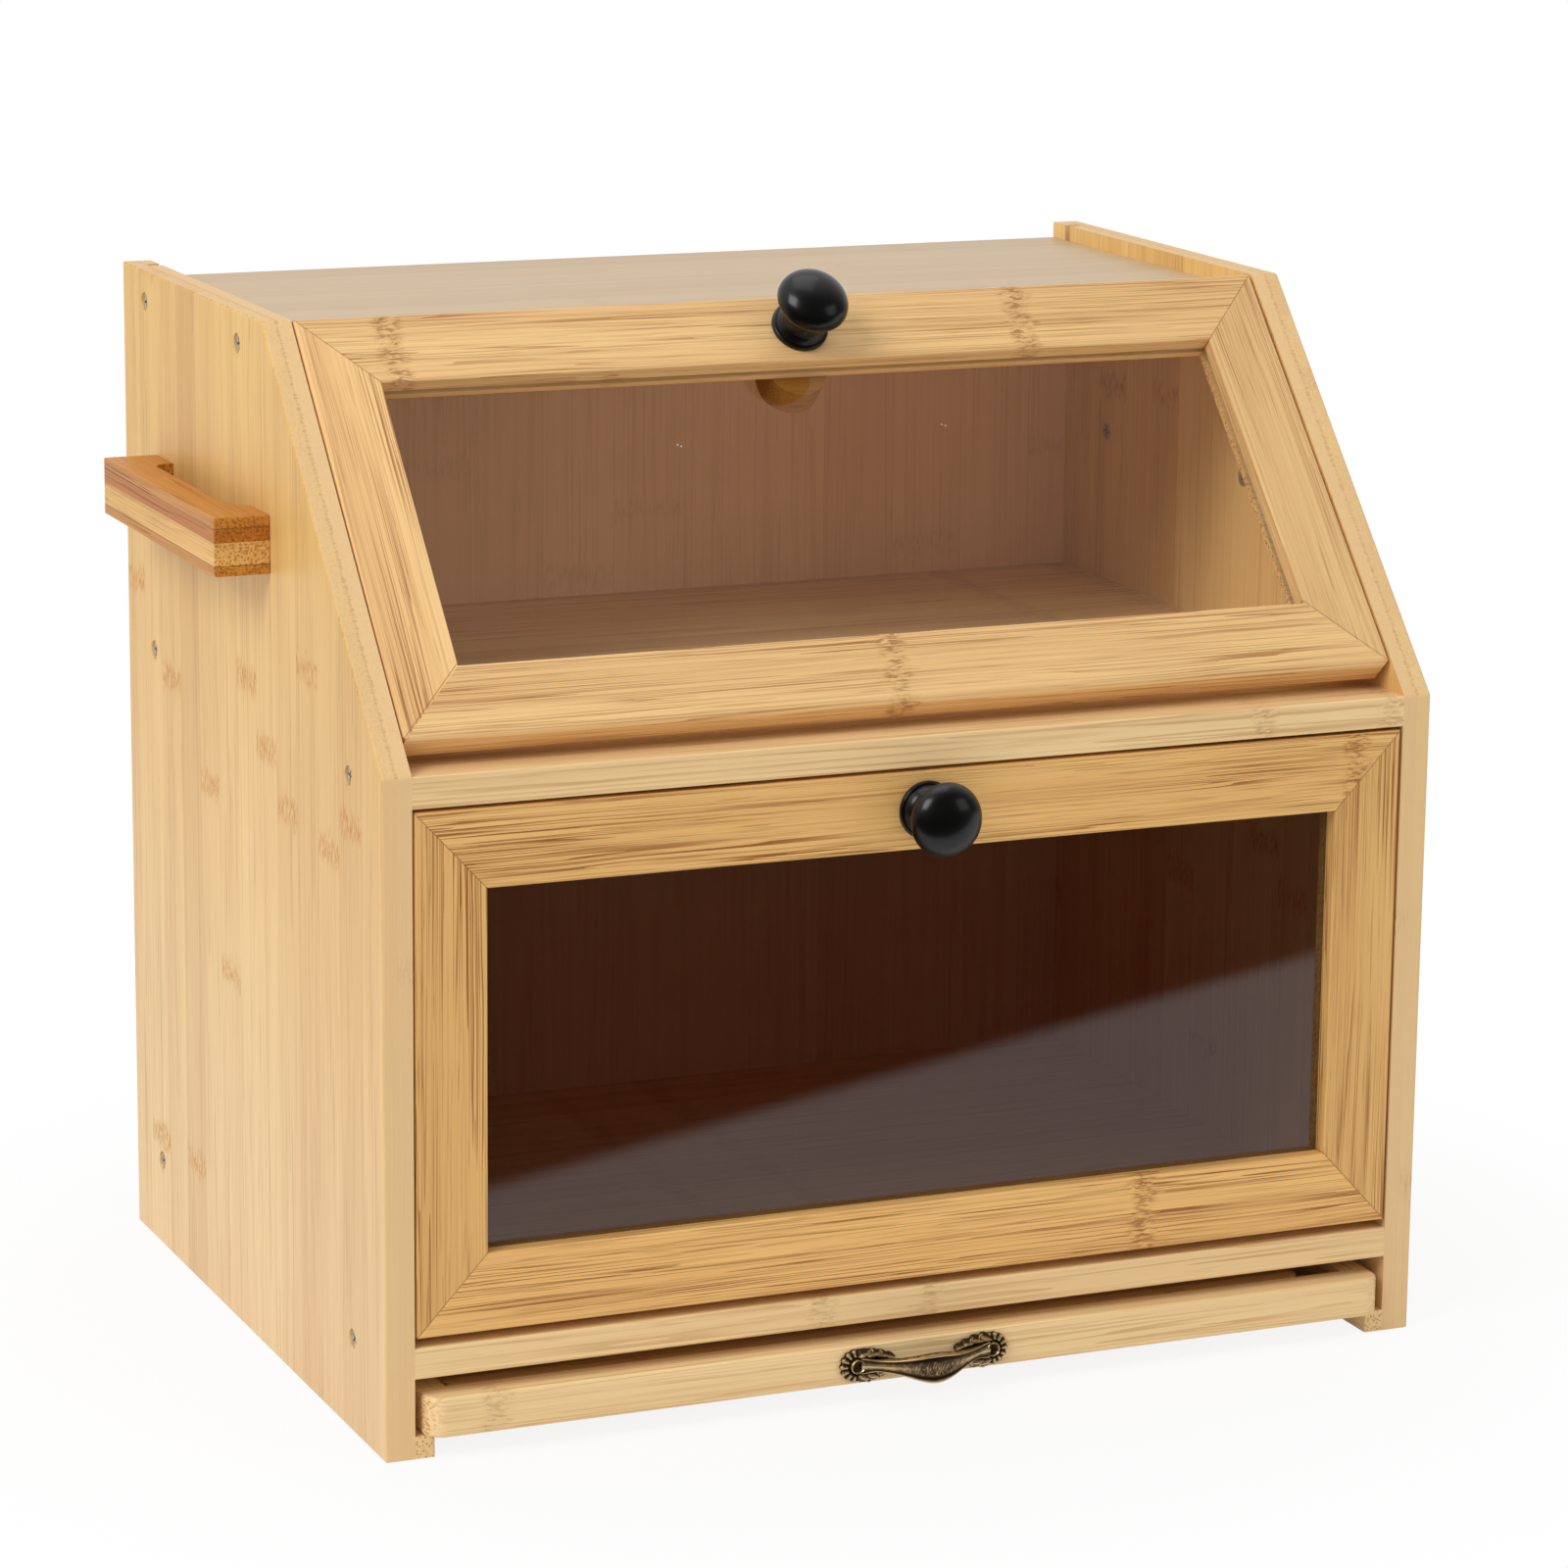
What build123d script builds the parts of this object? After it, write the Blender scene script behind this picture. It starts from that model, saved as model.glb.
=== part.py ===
"""Two-compartment bread box with a slanted upper door, an upright lower door and a tray drawer.

Millimetres, +Z up, front towards -Y, +X to the right seen from the front.  The origin is at the
middle of the base of the whole object's box, handles and knobs included.
"""
from build123d import *
import math
import os

# ---------------------------------------------------------------- carcass
width = 400.0                  # outside of the two sides
depth = 296.0                  # front edge to rear edge of a side
height = 377.0                 # floor to the top edge of a side
kink_height = 240.0            # where the upright front edge turns into the slanted one
top_depth = 170.0              # level top edge of a side, measured from the rear
side_thickness = 11.0
shelf_thickness = 11.2
top_thickness = 11.2
top_lip = 6.0                  # the sides stand this far above the top panel
drawer_bay_height = 28.5       # floor to the underside of the bottom shelf
side_arris = 1.0               # rounding along the outer arrises of the sides
corner_rounding = 2.5          # rounding of the front corners of a side, seen from the side
shelf_arris = 0.8

back_thickness = 4.0
back_inset = 11.0              # rear edge of the sides to the rear face of the back board
back_groove_depth = 5.0
back_foot = 10.0               # floor to the lower edge of the back board
groove_clearance = 0.1

runner_width = 7.0
runner_height = 8.0

# ---------------------------------------------------------------- doors
door_thickness = 11.0
door_side_gap = 0.8            # door edge to the side, left and right
rail_width = 28.0
stile_width = 26.0
door_arris = 1.0
window_arris = 0.8
window_reveal = 6.0            # front face of the frame to the pane
rabbet_width = 5.0
pane_thickness = 2.5
pane_clearance = 0.4
bead_width = 4.6
upper_door_start = 14.2        # bend in the side to the door's lower end, along the slant
upper_foot_rounding = 3.0      # front arris of the upper door's lower end
lower_door_top_gap = 1.2
lower_door_bottom_gap = 3.3

pivot_height = 11.0            # door's lower end to the hinge axis
hinge_pin_radius = 1.5
hinge_pin_in_door = 7.5
hinge_pin_in_side = 7.0
pin_running_gap = 0.05         # radial, pin in the door
pin_seat_gap = 0.01            # radial, pin in the side
pin_end_gap = 0.5

# ---------------------------------------------------------------- knobs and catches
knob_height = 24.5
knob_base_radius = 10.5
knob_base_step = 2.2
knob_neck_radius = 6.6
knob_cap_radius = 13.25
knob_cap_level = 16.4          # height of the widest section of the cap
knob_screw_radius = 2.0
knob_screw_length = 20.0
knob_screw_head_radius = 3.8
strike_radius = 8.5
strike_thickness = 1.2
catch_gap = 0.5                # closed door to the catch block
catch_radius = 11.5
catch_drop = 22.4              # board to the catch block's lowest point, along the closed door
catch_thickness = 12.0
magnet_radius = 4.0
magnet_thickness = 3.0
magnet_lift = 14.9             # lowest point of the catch block to the magnet's centre

# ---------------------------------------------------------------- drawer
drawer_side_gap = 3.0          # drawer to each side
drawer_height = 14.5
drawer_overhang = 5.0          # drawer front ahead of the front edges of the sides
drawer_front_thickness = 12.0
drawer_corner_radius = 7.0
drawer_arris = 1.2
drawer_rail_width = 11.0
drawer_rear_gap = 2.0          # drawer to the back board when closed
drawer_bottom_thickness = 3.0
drawer_bottom_lift = 2.0       # lower edge of the rails to the bottom panel
drawer_groove_depth = 3.0
board_thickness = 9.0
board_play = 1.0               # cutting board to the drawer, left, front and rear
crumb_slot = 15.0              # cutting board to the right-hand rail
board_corner_radius = 8.0
board_arris = 1.0

# ---------------------------------------------------------------- handles and pull
handle_length = 137.0
handle_height = 21.0
handle_reach = 20.5
handle_grip_thickness = 12.5
handle_foot_length = 21.0
handle_front = 117.5           # front edge of the side to the front end of the handle
handle_middle_height = 299.5
handle_arris = 0.6
handle_inner_rounding = 6.0     # inside corners between the grip and its feet

pull_hole_spacing = 52.5
pull_fan_radius = 6.4
pull_fan_reach = 7.6           # screw hole to the outer end of the pull
pull_plate_thickness = 2.2
pull_reach = 14.0              # drawer front to the front of the bow
pull_bow_thickness = 3.0
pull_bow_height = 9.6
pull_lobes = 7                 # scallops around each fan
pull_lobe_radius = 1.7

# ---------------------------------------------------------------- screws
wood_screw_radius = 1.75
wood_screw_head_radius = 3.6
wood_screw_length = 30.0
wood_screw_recess = 0.8
handle_screw_length = 26.0
pull_screw_radius = 1.25
pull_screw_head_radius = 2.4
pull_screw_length = 11.0
screw_clearance = 0.05
screw_inset = 34.0             # front edge of a board, and its rear edge, to its screws
top_screw_inset = 28.0         # ends of the level top edge to its screws
cross_slot_width = 0.9
cross_slot_depth = 1.2

# ---------------------------------------------------------------- derived places
front_y = (knob_height - depth) / 2
rear_y = front_y + depth
slope_top_y = rear_y - top_depth
slope_run = slope_top_y - front_y
slope_rise = height - kink_height
slope_length = math.hypot(slope_run, slope_rise)
lean_sin = slope_run / slope_length        # of the slant's angle from upright
lean_cos = slope_rise / slope_length
inner_x = width / 2 - side_thickness
back_rear_y = rear_y - back_inset
back_front_y = back_rear_y - back_thickness
top_z = height - top_lip
top_under_z = top_z - top_thickness
middle_z = kink_height
middle_under_z = middle_z - shelf_thickness
bottom_under_z = drawer_bay_height
bottom_z = bottom_under_z + shelf_thickness
door_width = 2 * (inner_x - door_side_gap)
upper_door_height = slope_length - upper_door_start
lower_door_height = middle_under_z - lower_door_top_gap - bottom_z - lower_door_bottom_gap

slant_up = Vector(0, lean_sin, lean_cos)
slant_out = Vector(0, -lean_cos, lean_sin)
upper_door_foot = Vector(0, front_y, kink_height) + slant_up * upper_door_start
upper_plane = Plane(origin=upper_door_foot, x_dir=(1, 0, 0), z_dir=slant_out)
lower_door_foot = Vector(0, front_y, bottom_z + lower_door_bottom_gap)
lower_plane = Plane(origin=lower_door_foot, x_dir=(1, 0, 0), z_dir=(0, -1, 0))

drawer_x = inner_x - drawer_side_gap
drawer_front_y = front_y - drawer_overhang
drawer_front_back_y = drawer_front_y + drawer_front_thickness
drawer_rear_y = back_front_y - drawer_rear_gap
drawer_z = runner_height
drawer_top_z = drawer_z + drawer_height
drawer_floor_z = drawer_z + drawer_bottom_lift
board_z = drawer_floor_z + drawer_bottom_thickness


# ---------------------------------------------------------------- helpers
def block(x_limits, y_limits, z_limits):
    """Rectangular block between two limits on each axis."""
    limits = (x_limits, y_limits, z_limits)
    sizes = [high - low for low, high in limits]
    middles = [(high + low) / 2 for low, high in limits]
    return Pos(*middles) * Box(*sizes)


def rounded_block(x_limits, y_limits, z_limits, radius):
    """Block with every arris rounded."""
    solid = block(x_limits, y_limits, z_limits)
    return fillet(solid.edges(), radius)


def standing_cylinder(radius, low, high):
    """Cylinder about Z between two levels."""
    return Pos(0, 0, (low + high) / 2) * Cylinder(radius, high - low)


def mirrored(solid):
    """The same piece on the other side of the middle plane."""
    return mirror(solid, about=Plane.YZ)


def facing(origin, direction):
    """Place whose Z points along direction, with X along Y or, for that direction, along X."""
    x_dir = (1, 0, 0) if abs(Vector(direction).X) < 0.5 else (0, 1, 0)
    return Plane(origin=origin, x_dir=x_dir, z_dir=direction).location


def countersunk(radius, head_radius, length, gap=0.0, recess=0.0):
    """Countersunk screw pointing down from Z = 0; with a gap and a recess, the hole it goes in."""
    shank = standing_cylinder(radius + gap, -length - gap, 0)
    cone_height = head_radius - radius
    cone = Pos(0, 0, -cone_height / 2) * Cone(radius + gap, head_radius + gap, cone_height)
    body = shank + cone
    if recess > 0:
        body += standing_cylinder(head_radius + gap, 0, recess)
    return body


def cross_slotted(screw, head_radius):
    """The screw with a cross cut into its head."""
    slot = Box(1.3 * head_radius, cross_slot_width, 2 * cross_slot_depth)
    return screw - slot - Rot(0, 0, 90) * slot


# ---------------------------------------------------------------- side panels
def side_screw_points():
    """(y, z) of the screws through a side into the ends of the three boards."""
    middle_of_bottom = (bottom_z + bottom_under_z) / 2
    middle_of_shelf = (middle_z + middle_under_z) / 2
    middle_of_top = (top_z + top_under_z) / 2
    rows = [(level, front_y + screw_inset, rear_y - screw_inset)
            for level in (middle_of_bottom, middle_of_shelf)]
    rows.append((middle_of_top, slope_top_y + top_screw_inset, rear_y - top_screw_inset))
    return [(y, level) for level, first, last in rows for y in (first, last)]


def handle_screw_points():
    """(y, z) of the screws through a side into the two feet of its handle."""
    first = front_y + handle_front + handle_foot_length / 2
    last = front_y + handle_front + handle_length - handle_foot_length / 2
    return [(first, handle_middle_height), (last, handle_middle_height)]


def hinge_axis(plane):
    """Point on the hinge axis of a door, in the middle plane of the box."""
    return plane.from_local_coords(Vector(0, pivot_height, -door_thickness / 2))


def hinge_pins(plane):
    """The two pins that a door turns on, seated in the sides."""
    axis = hinge_axis(plane)
    first = inner_x + hinge_pin_in_side
    last = inner_x - door_side_gap - hinge_pin_in_door
    pin = Rot(0, 90, 0) * standing_cylinder(hinge_pin_radius, last, first)
    pin = Pos(0, axis.Y, axis.Z) * pin
    return [mirrored(pin), pin]


def left_side():
    """Five-cornered side with the back board's groove, screw holes and hinge pin seats."""
    corners = [(front_y, 0), (rear_y, 0), (rear_y, height), (slope_top_y, height),
               (front_y, kink_height)]
    outline = make_face(Polyline(*corners, close=True))
    rounded = [v for v in outline.vertices() if v.Z > kink_height - 1 or v.Y > kink_height - 1]
    front_corners = sorted(rounded, key=lambda v: v.X)[:2]
    outline = fillet(front_corners, corner_rounding)
    panel = Pos(-width / 2, 0, 0) * extrude(Plane.YZ * outline, side_thickness)
    outer_edges = panel.faces().sort_by(Axis.X)[0].edges()
    panel = fillet(outer_edges, side_arris)
    groove = block((-inner_x - back_groove_depth, 0),
                   (back_front_y - groove_clearance, back_rear_y + groove_clearance),
                   (-1, height + 1))
    panel -= groove
    hole = countersunk(wood_screw_radius, wood_screw_head_radius, wood_screw_length,
                       screw_clearance, 2 * wood_screw_recess)
    for y, z in side_screw_points():
        panel -= facing((-width / 2 + wood_screw_recess, y, z), (-1, 0, 0)) * hole
    hole = countersunk(wood_screw_radius, wood_screw_head_radius, handle_screw_length,
                       screw_clearance, wood_screw_recess)
    for y, z in handle_screw_points():
        panel -= facing((-inner_x, y, z), (1, 0, 0)) * hole
    for plane in (upper_plane, lower_plane):
        axis = hinge_axis(plane)
        seat = standing_cylinder(hinge_pin_radius + pin_seat_gap, inner_x - 1,
                                 inner_x + hinge_pin_in_side + pin_seat_gap)
        panel -= Pos(0, axis.Y, axis.Z) * Rot(0, -90, 0) * seat
    return panel


def side_screws():
    """The six countersunk screws of the left side."""
    screw = countersunk(wood_screw_radius, wood_screw_head_radius, wood_screw_length)
    screw = cross_slotted(screw, wood_screw_head_radius)
    return [facing((-width / 2 + wood_screw_recess, y, z), (-1, 0, 0)) * screw
            for y, z in side_screw_points()]


def side_screw_holes():
    """Pilot holes of the side screws, both sides."""
    hole = countersunk(wood_screw_radius, wood_screw_head_radius, wood_screw_length,
                       screw_clearance)
    left = [facing((-width / 2 + wood_screw_recess, y, z), (-1, 0, 0)) * hole
            for y, z in side_screw_points()]
    return left + [mirrored(one) for one in left]


# ---------------------------------------------------------------- boards between the sides
def shelf(z_low, z_high):
    """Level board from the front edge back to the back board, with its pilot holes."""
    board = block((-inner_x, inner_x), (front_y, back_front_y), (z_low, z_high))
    board = fillet(board.edges().filter_by(Axis.X).group_by(Axis.Y)[0], shelf_arris)
    return drilled(board)


def drilled(board):
    """The board without the pilot holes that meet it."""
    box = board.bounding_box()
    for hole in side_screw_holes():
        centre = hole.bounding_box().center()
        if box.min.Z < centre.Z < box.max.Z:
            board -= hole
    return board


def top_panel():
    """Top board over the back board, its front edge bevelled to lie behind the slanted door."""
    panel = block((-inner_x, inner_x), (front_y, rear_y), (top_under_z, top_z))
    rear_edge = panel.edges().filter_by(Axis.X).group_by(Axis.Y)[-1]
    panel = fillet(rear_edge, shelf_arris)
    bevel_depth = door_thickness + catch_gap
    ahead = Plane(origin=upper_door_foot - slant_out * bevel_depth, x_dir=(1, 0, 0),
                  z_dir=slant_out)
    cutter = ahead.location * block((-width, width), (-height, height), (0, height))
    return drilled(panel - cutter)


def back_board():
    """Thin board held in the grooves of the sides, under the top panel."""
    reach = inner_x + back_groove_depth - groove_clearance
    return block((-reach, reach), (back_front_y, back_rear_y), (back_foot, top_under_z))


def left_runner():
    """Square batten along the foot of a side that carries the drawer."""
    return block((-inner_x, -inner_x + runner_width), (front_y, back_front_y), (0, runner_height))


# ---------------------------------------------------------------- catches
def catch_parts(plane, under_z):
    """Block with a half-round end under a board, with the magnet for a door's strike plate."""
    face = -door_thickness - catch_gap
    face_at_foot = plane.from_local_coords(Vector(0, 0, face))
    board_level = (under_z - face_at_foot.Z) / plane.y_dir.Z
    centre_level = board_level - catch_drop + catch_radius
    magnet_level = board_level - catch_drop + magnet_lift
    disc = Pos(0, centre_level, face - catch_thickness / 2) * Cylinder(catch_radius,
                                                                       catch_thickness)
    neck = block((-catch_radius, catch_radius), (centre_level, board_level + catch_thickness),
                 (face - catch_thickness, face))
    magnet_place = Pos(0, magnet_level, face - magnet_thickness / 2)
    pocket = magnet_place * Cylinder(magnet_radius + screw_clearance, magnet_thickness)
    above = block((-width, width), (-depth, depth), (under_z, 2 * height))
    magnet = magnet_place * Cylinder(magnet_radius, magnet_thickness)
    return plane.location * (disc + neck - pocket) - above, plane.location * magnet


# ---------------------------------------------------------------- doors
def member_section(member_width, foot_rounding):
    """Section of a frame member: from the outer edge at 0 inwards, front face at 0 upwards."""
    corners = [(0, 0), (member_width, 0), (member_width, -window_reveal),
               (member_width - rabbet_width, -window_reveal),
               (member_width - rabbet_width, -door_thickness), (0, -door_thickness)]
    section = make_face(Polyline(*corners, close=True))

    def corner(x, y):
        return section.vertices().sort_by_distance((x, y, 0))[0]

    section = fillet(corner(0, 0), foot_rounding)
    section = fillet(corner(member_width, 0), window_arris)
    return fillet(corner(0, -door_thickness), door_arris)


def trapezoid(points):
    """Prism through the door's thickness over an outline, for the mitred ends."""
    return extrude(make_face(Polyline(*points, close=True)), -door_thickness)


def rounded_foot(door_height, radius):
    """Prism over a door's outline with its two lower corners rounded."""
    half = door_width / 2
    outline = make_face(Polyline((-half, 0), (half, 0), (half, door_height),
                                 (-half, door_height), close=True))
    outline = fillet(outline.vertices().group_by(Axis.Y)[0], radius)
    return extrude(outline, -door_thickness)


def door_parts(door_height, foot_rounding):
    """The pieces of a door in its own frame: X across, Y up from its lower end, Z outwards."""
    half = door_width / 2
    inner_half = half - stile_width
    knob_level = door_height - rail_width / 2

    def rail(rounding):
        strip = Pos(-half, 0, 0) * extrude(Plane.YZ * member_section(rail_width, rounding),
                                           door_width)
        return strip & trapezoid([(-half, 0), (half, 0), (inner_half, rail_width),
                                  (-inner_half, rail_width)])

    section = Plane.XZ * member_section(stile_width, door_arris)
    strip = Pos(-half, 0, 0) * extrude(section, door_height, dir=(0, 1, 0))
    stile = strip & trapezoid([(-half, 0), (-inner_half, rail_width),
                               (-inner_half, door_height - rail_width), (-half, door_height)])
    bottom_rail = rail(foot_rounding)
    top_rail = Pos(0, door_height, 0) * mirror(rail(door_arris), about=Plane.XZ)

    pin_hole = standing_cylinder(hinge_pin_radius + pin_running_gap, 0,
                                 hinge_pin_in_door + pin_end_gap)
    pin_hole = Pos(-half, pivot_height, -door_thickness / 2) * Rot(0, 90, 0) * pin_hole
    foot = rounded_foot(door_height, foot_rounding)
    stile = (stile & foot) - pin_hole
    bottom_rail = (bottom_rail & foot) - pin_hole
    bottom_rail -= mirrored(pin_hole)

    screw_place = Pos(0, knob_level, -door_thickness) * Rot(180, 0, 0)
    screw = countersunk(knob_screw_radius, knob_screw_head_radius, knob_screw_length)
    screw_hole = countersunk(knob_screw_radius, knob_screw_head_radius, knob_screw_length,
                             screw_clearance)
    strike = standing_cylinder(strike_radius, -strike_thickness, 0)
    strike_seat = standing_cylinder(strike_radius + screw_clearance, -strike_thickness, 0)
    top_rail -= screw_place * strike_seat
    top_rail -= screw_place * screw_hole

    return {
        "top_rail": top_rail,
        "bottom_rail": bottom_rail,
        "left_stile": stile,
        "right_stile": mirrored(stile),
        "window": pane(door_height),
        "window_beads": beads(door_height),
        "knob": Pos(0, knob_level, 0) * knob(),
        "knob_screw": screw_place * cross_slotted(screw, knob_screw_head_radius),
        "strike_plate": screw_place * (strike - screw_hole),
    }


def pane(door_height):
    """Clear pane in the rabbet behind the frame."""
    half = door_width / 2 - stile_width + rabbet_width - pane_clearance
    low = rail_width - rabbet_width + pane_clearance
    return block((-half, half), (low, door_height - low),
                 (-window_reveal - pane_thickness, -window_reveal))


def beads(door_height):
    """Four thin strips that hold the pane from behind."""
    outer = door_width / 2 - stile_width + rabbet_width - pane_clearance
    low = rail_width - rabbet_width + pane_clearance
    high = door_height - low
    levels = (-door_thickness, -window_reveal - pane_thickness)
    across = block((-outer, outer), (low, low + bead_width), levels)
    upright = block((-outer, -outer + bead_width), (low + bead_width, high - bead_width), levels)
    above = Pos(0, high - low - bead_width, 0) * across
    return [across, above, upright, mirrored(upright)]


def knob():
    """Turned knob: stepped foot, waist and mushroom cap."""
    waist_low = knob_base_step + 1.2
    waist_high = knob_cap_level - 3.6
    rim_low = (knob_cap_radius - 0.6, knob_cap_level - 1.4)
    bore = knob_screw_radius + screw_clearance
    bore_end = knob_screw_length - door_thickness + pin_end_gap
    dome_rise = knob_height - knob_cap_level
    dome_radius = (knob_cap_radius ** 2 + dome_rise ** 2) / (2 * dome_rise)
    rim_angle = math.degrees(math.acos(knob_cap_radius / dome_radius))
    outline = [
        Line((bore, 0), (knob_base_radius, 0)),
        Line((knob_base_radius, 0), (knob_base_radius, knob_base_step)),
        Line((knob_base_radius, knob_base_step), (knob_base_radius - 1.0, waist_low)),
        ThreePointArc((knob_base_radius - 1.0, waist_low),
                      (knob_neck_radius, (waist_low + waist_high) / 2),
                      (knob_neck_radius + 1.6, waist_high)),
        Line((knob_neck_radius + 1.6, waist_high), rim_low),
        Line(rim_low, (knob_cap_radius, knob_cap_level)),
        CenterArc((0, knob_height - dome_radius), dome_radius, rim_angle, 90 - rim_angle),
        Line((0, knob_height), (0, bore_end)),
        Line((0, bore_end), (bore, bore_end)),
        Line((bore, bore_end), (bore, 0)),
    ]
    return revolve(Plane.XZ * make_face(outline), Axis.Z)


# ---------------------------------------------------------------- drawer
def drawer_parts():
    """Tray drawer: thick front, three rails, thin bottom, cutting board and pull."""
    front = block((-drawer_x, drawer_x), (drawer_front_y, drawer_front_back_y),
                  (drawer_z, drawer_top_z))
    front_corners = front.edges().filter_by(Axis.Z).group_by(Axis.Y)[0]
    front = fillet(front_corners, drawer_corner_radius)
    front_arrises = front.faces().sort_by(Axis.Y)[0].edges().filter_by(Axis.X)
    front = fillet(front_arrises, drawer_arris)
    inner = drawer_x - drawer_rail_width
    rail_back_y = drawer_rear_y - drawer_rail_width
    left_rail = block((-drawer_x, -inner), (drawer_front_back_y, drawer_rear_y),
                      (drawer_z, drawer_top_z))
    left_rail = fillet(left_rail.edges().filter_by(Axis.Y).group_by(Axis.Z)[-1], shelf_arris)
    back_rail = block((-inner, inner), (rail_back_y, drawer_rear_y), (drawer_z, drawer_top_z))

    reach_x = inner + drawer_groove_depth
    reach_front = drawer_front_back_y - drawer_groove_depth
    reach_back = rail_back_y + drawer_groove_depth
    levels = (drawer_floor_z, drawer_floor_z + drawer_bottom_thickness)
    bottom = block((-reach_x, reach_x), (reach_front, reach_back), levels)
    groove = block((-reach_x - groove_clearance, reach_x + groove_clearance),
                   (reach_front - groove_clearance, reach_back + groove_clearance), levels)

    board = block((-inner + board_play, inner - crumb_slot),
                  (drawer_front_back_y + board_play, rail_back_y - board_play),
                  (board_z, board_z + board_thickness))
    board = fillet(board.edges().filter_by(Axis.Z), board_corner_radius)
    board = fillet(board.faces().sort_by(Axis.Z)[-1].edges(), board_arris)

    holes = pull_screw_holes()
    front -= groove
    for hole in holes:
        front -= hole
    left_rail -= groove
    return {
        "drawer_front": front,
        "drawer_left_rail": left_rail,
        "drawer_right_rail": mirrored(left_rail),
        "drawer_back_rail": back_rail - groove,
        "drawer_bottom": bottom,
        "cutting_board": board,
        "drawer_pull": drawer_pull(),
        "drawer_pull_screws": group(pull_screws()),
    }


def pull_screw_places():
    """Places of the two pull screws, heads outwards."""
    level = (drawer_z + drawer_top_z) / 2
    return [facing((x, drawer_front_y - pull_plate_thickness, level), (0, -1, 0))
            for x in (-pull_hole_spacing / 2, pull_hole_spacing / 2)]


def pull_screws():
    """The two small screws that hold the pull."""
    screw = countersunk(pull_screw_radius, pull_screw_head_radius, pull_screw_length)
    return [place * cross_slotted(screw, pull_screw_head_radius) for place in pull_screw_places()]


def pull_screw_holes():
    """Holes of the pull screws through the pull and into the drawer front."""
    hole = countersunk(pull_screw_radius, pull_screw_head_radius, pull_screw_length,
                       screw_clearance)
    return [place * hole for place in pull_screw_places()]


def drawer_pull():
    """Cast pull: two scalloped fans with screw holes, joined by a bowed grip."""
    level = (drawer_z + drawer_top_z) / 2
    fan = Circle(pull_fan_radius - pull_lobe_radius)
    for index in range(pull_lobes):
        angle = math.radians(90 + 180 * index / (pull_lobes - 1))
        ring = pull_fan_radius - pull_lobe_radius
        fan += Pos(ring * math.cos(angle), ring * math.sin(angle)) * Circle(pull_lobe_radius)
    tip = pull_fan_reach - pull_fan_radius
    plate = extrude(Pos(-pull_hole_spacing / 2 - tip, 0) * fan, pull_plate_thickness)
    plate += extrude(Pos(-pull_hole_spacing / 2 + pull_fan_radius / 2, 0)
                     * Rectangle(pull_fan_radius, pull_bow_height), pull_plate_thickness)
    bow_half = pull_hole_spacing / 2 - pull_screw_head_radius - 0.6
    plates = plate + mirrored(plate)

    inner_reach = pull_reach - pull_bow_thickness
    outline = [
        ThreePointArc((-bow_half, 0), (0, pull_reach), (bow_half, 0)),
        Line((bow_half, 0), (bow_half - pull_bow_thickness, 0)),
        ThreePointArc((bow_half - pull_bow_thickness, 0), (0, inner_reach),
                      (-bow_half + pull_bow_thickness, 0)),
        Line((-bow_half + pull_bow_thickness, 0), (-bow_half, 0)),
    ]
    bow = extrude(Plane.XZ * make_face(outline), pull_bow_height / 2, both=True)
    place = facing((0, drawer_front_y, level), (0, -1, 0))
    pull = place * (plates + bow)
    for hole in pull_screw_holes():
        pull -= hole
    return pull


# ---------------------------------------------------------------- side handles
def left_handle():
    """Bar cut in one piece with the two feet that hold it off the side."""
    y_low = front_y + handle_front
    y_high = y_low + handle_length
    levels = (handle_middle_height - handle_height / 2, handle_middle_height + handle_height / 2)
    outside = -width / 2
    grip = rounded_block((outside - handle_reach, outside), (y_low, y_high), levels, handle_arris)
    foot_line = outside - handle_reach + handle_grip_thickness
    gap = block((foot_line, outside + 1), (y_low + handle_foot_length, y_high - handle_foot_length),
                (levels[0] - 1, levels[1] + 1))
    gap = fillet(gap.edges().filter_by(Axis.Z).group_by(Axis.X)[0], handle_inner_rounding)
    handle = grip - gap
    for hole in handle_screw_solids(screw_clearance):
        handle -= hole
    return handle


def handle_screw_solids(gap=0.0):
    """Screws from inside the left side into the handle's feet, or their holes with a gap."""
    screw = countersunk(wood_screw_radius, wood_screw_head_radius, handle_screw_length, gap)
    if gap == 0:
        screw = cross_slotted(screw, wood_screw_head_radius)
    return [facing((-inner_x, y, z), (1, 0, 0)) * screw for y, z in handle_screw_points()]


# ---------------------------------------------------------------- assembly
def group(solids):
    """One node that holds several separate solids."""
    return Compound(children=list(solids))


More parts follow.
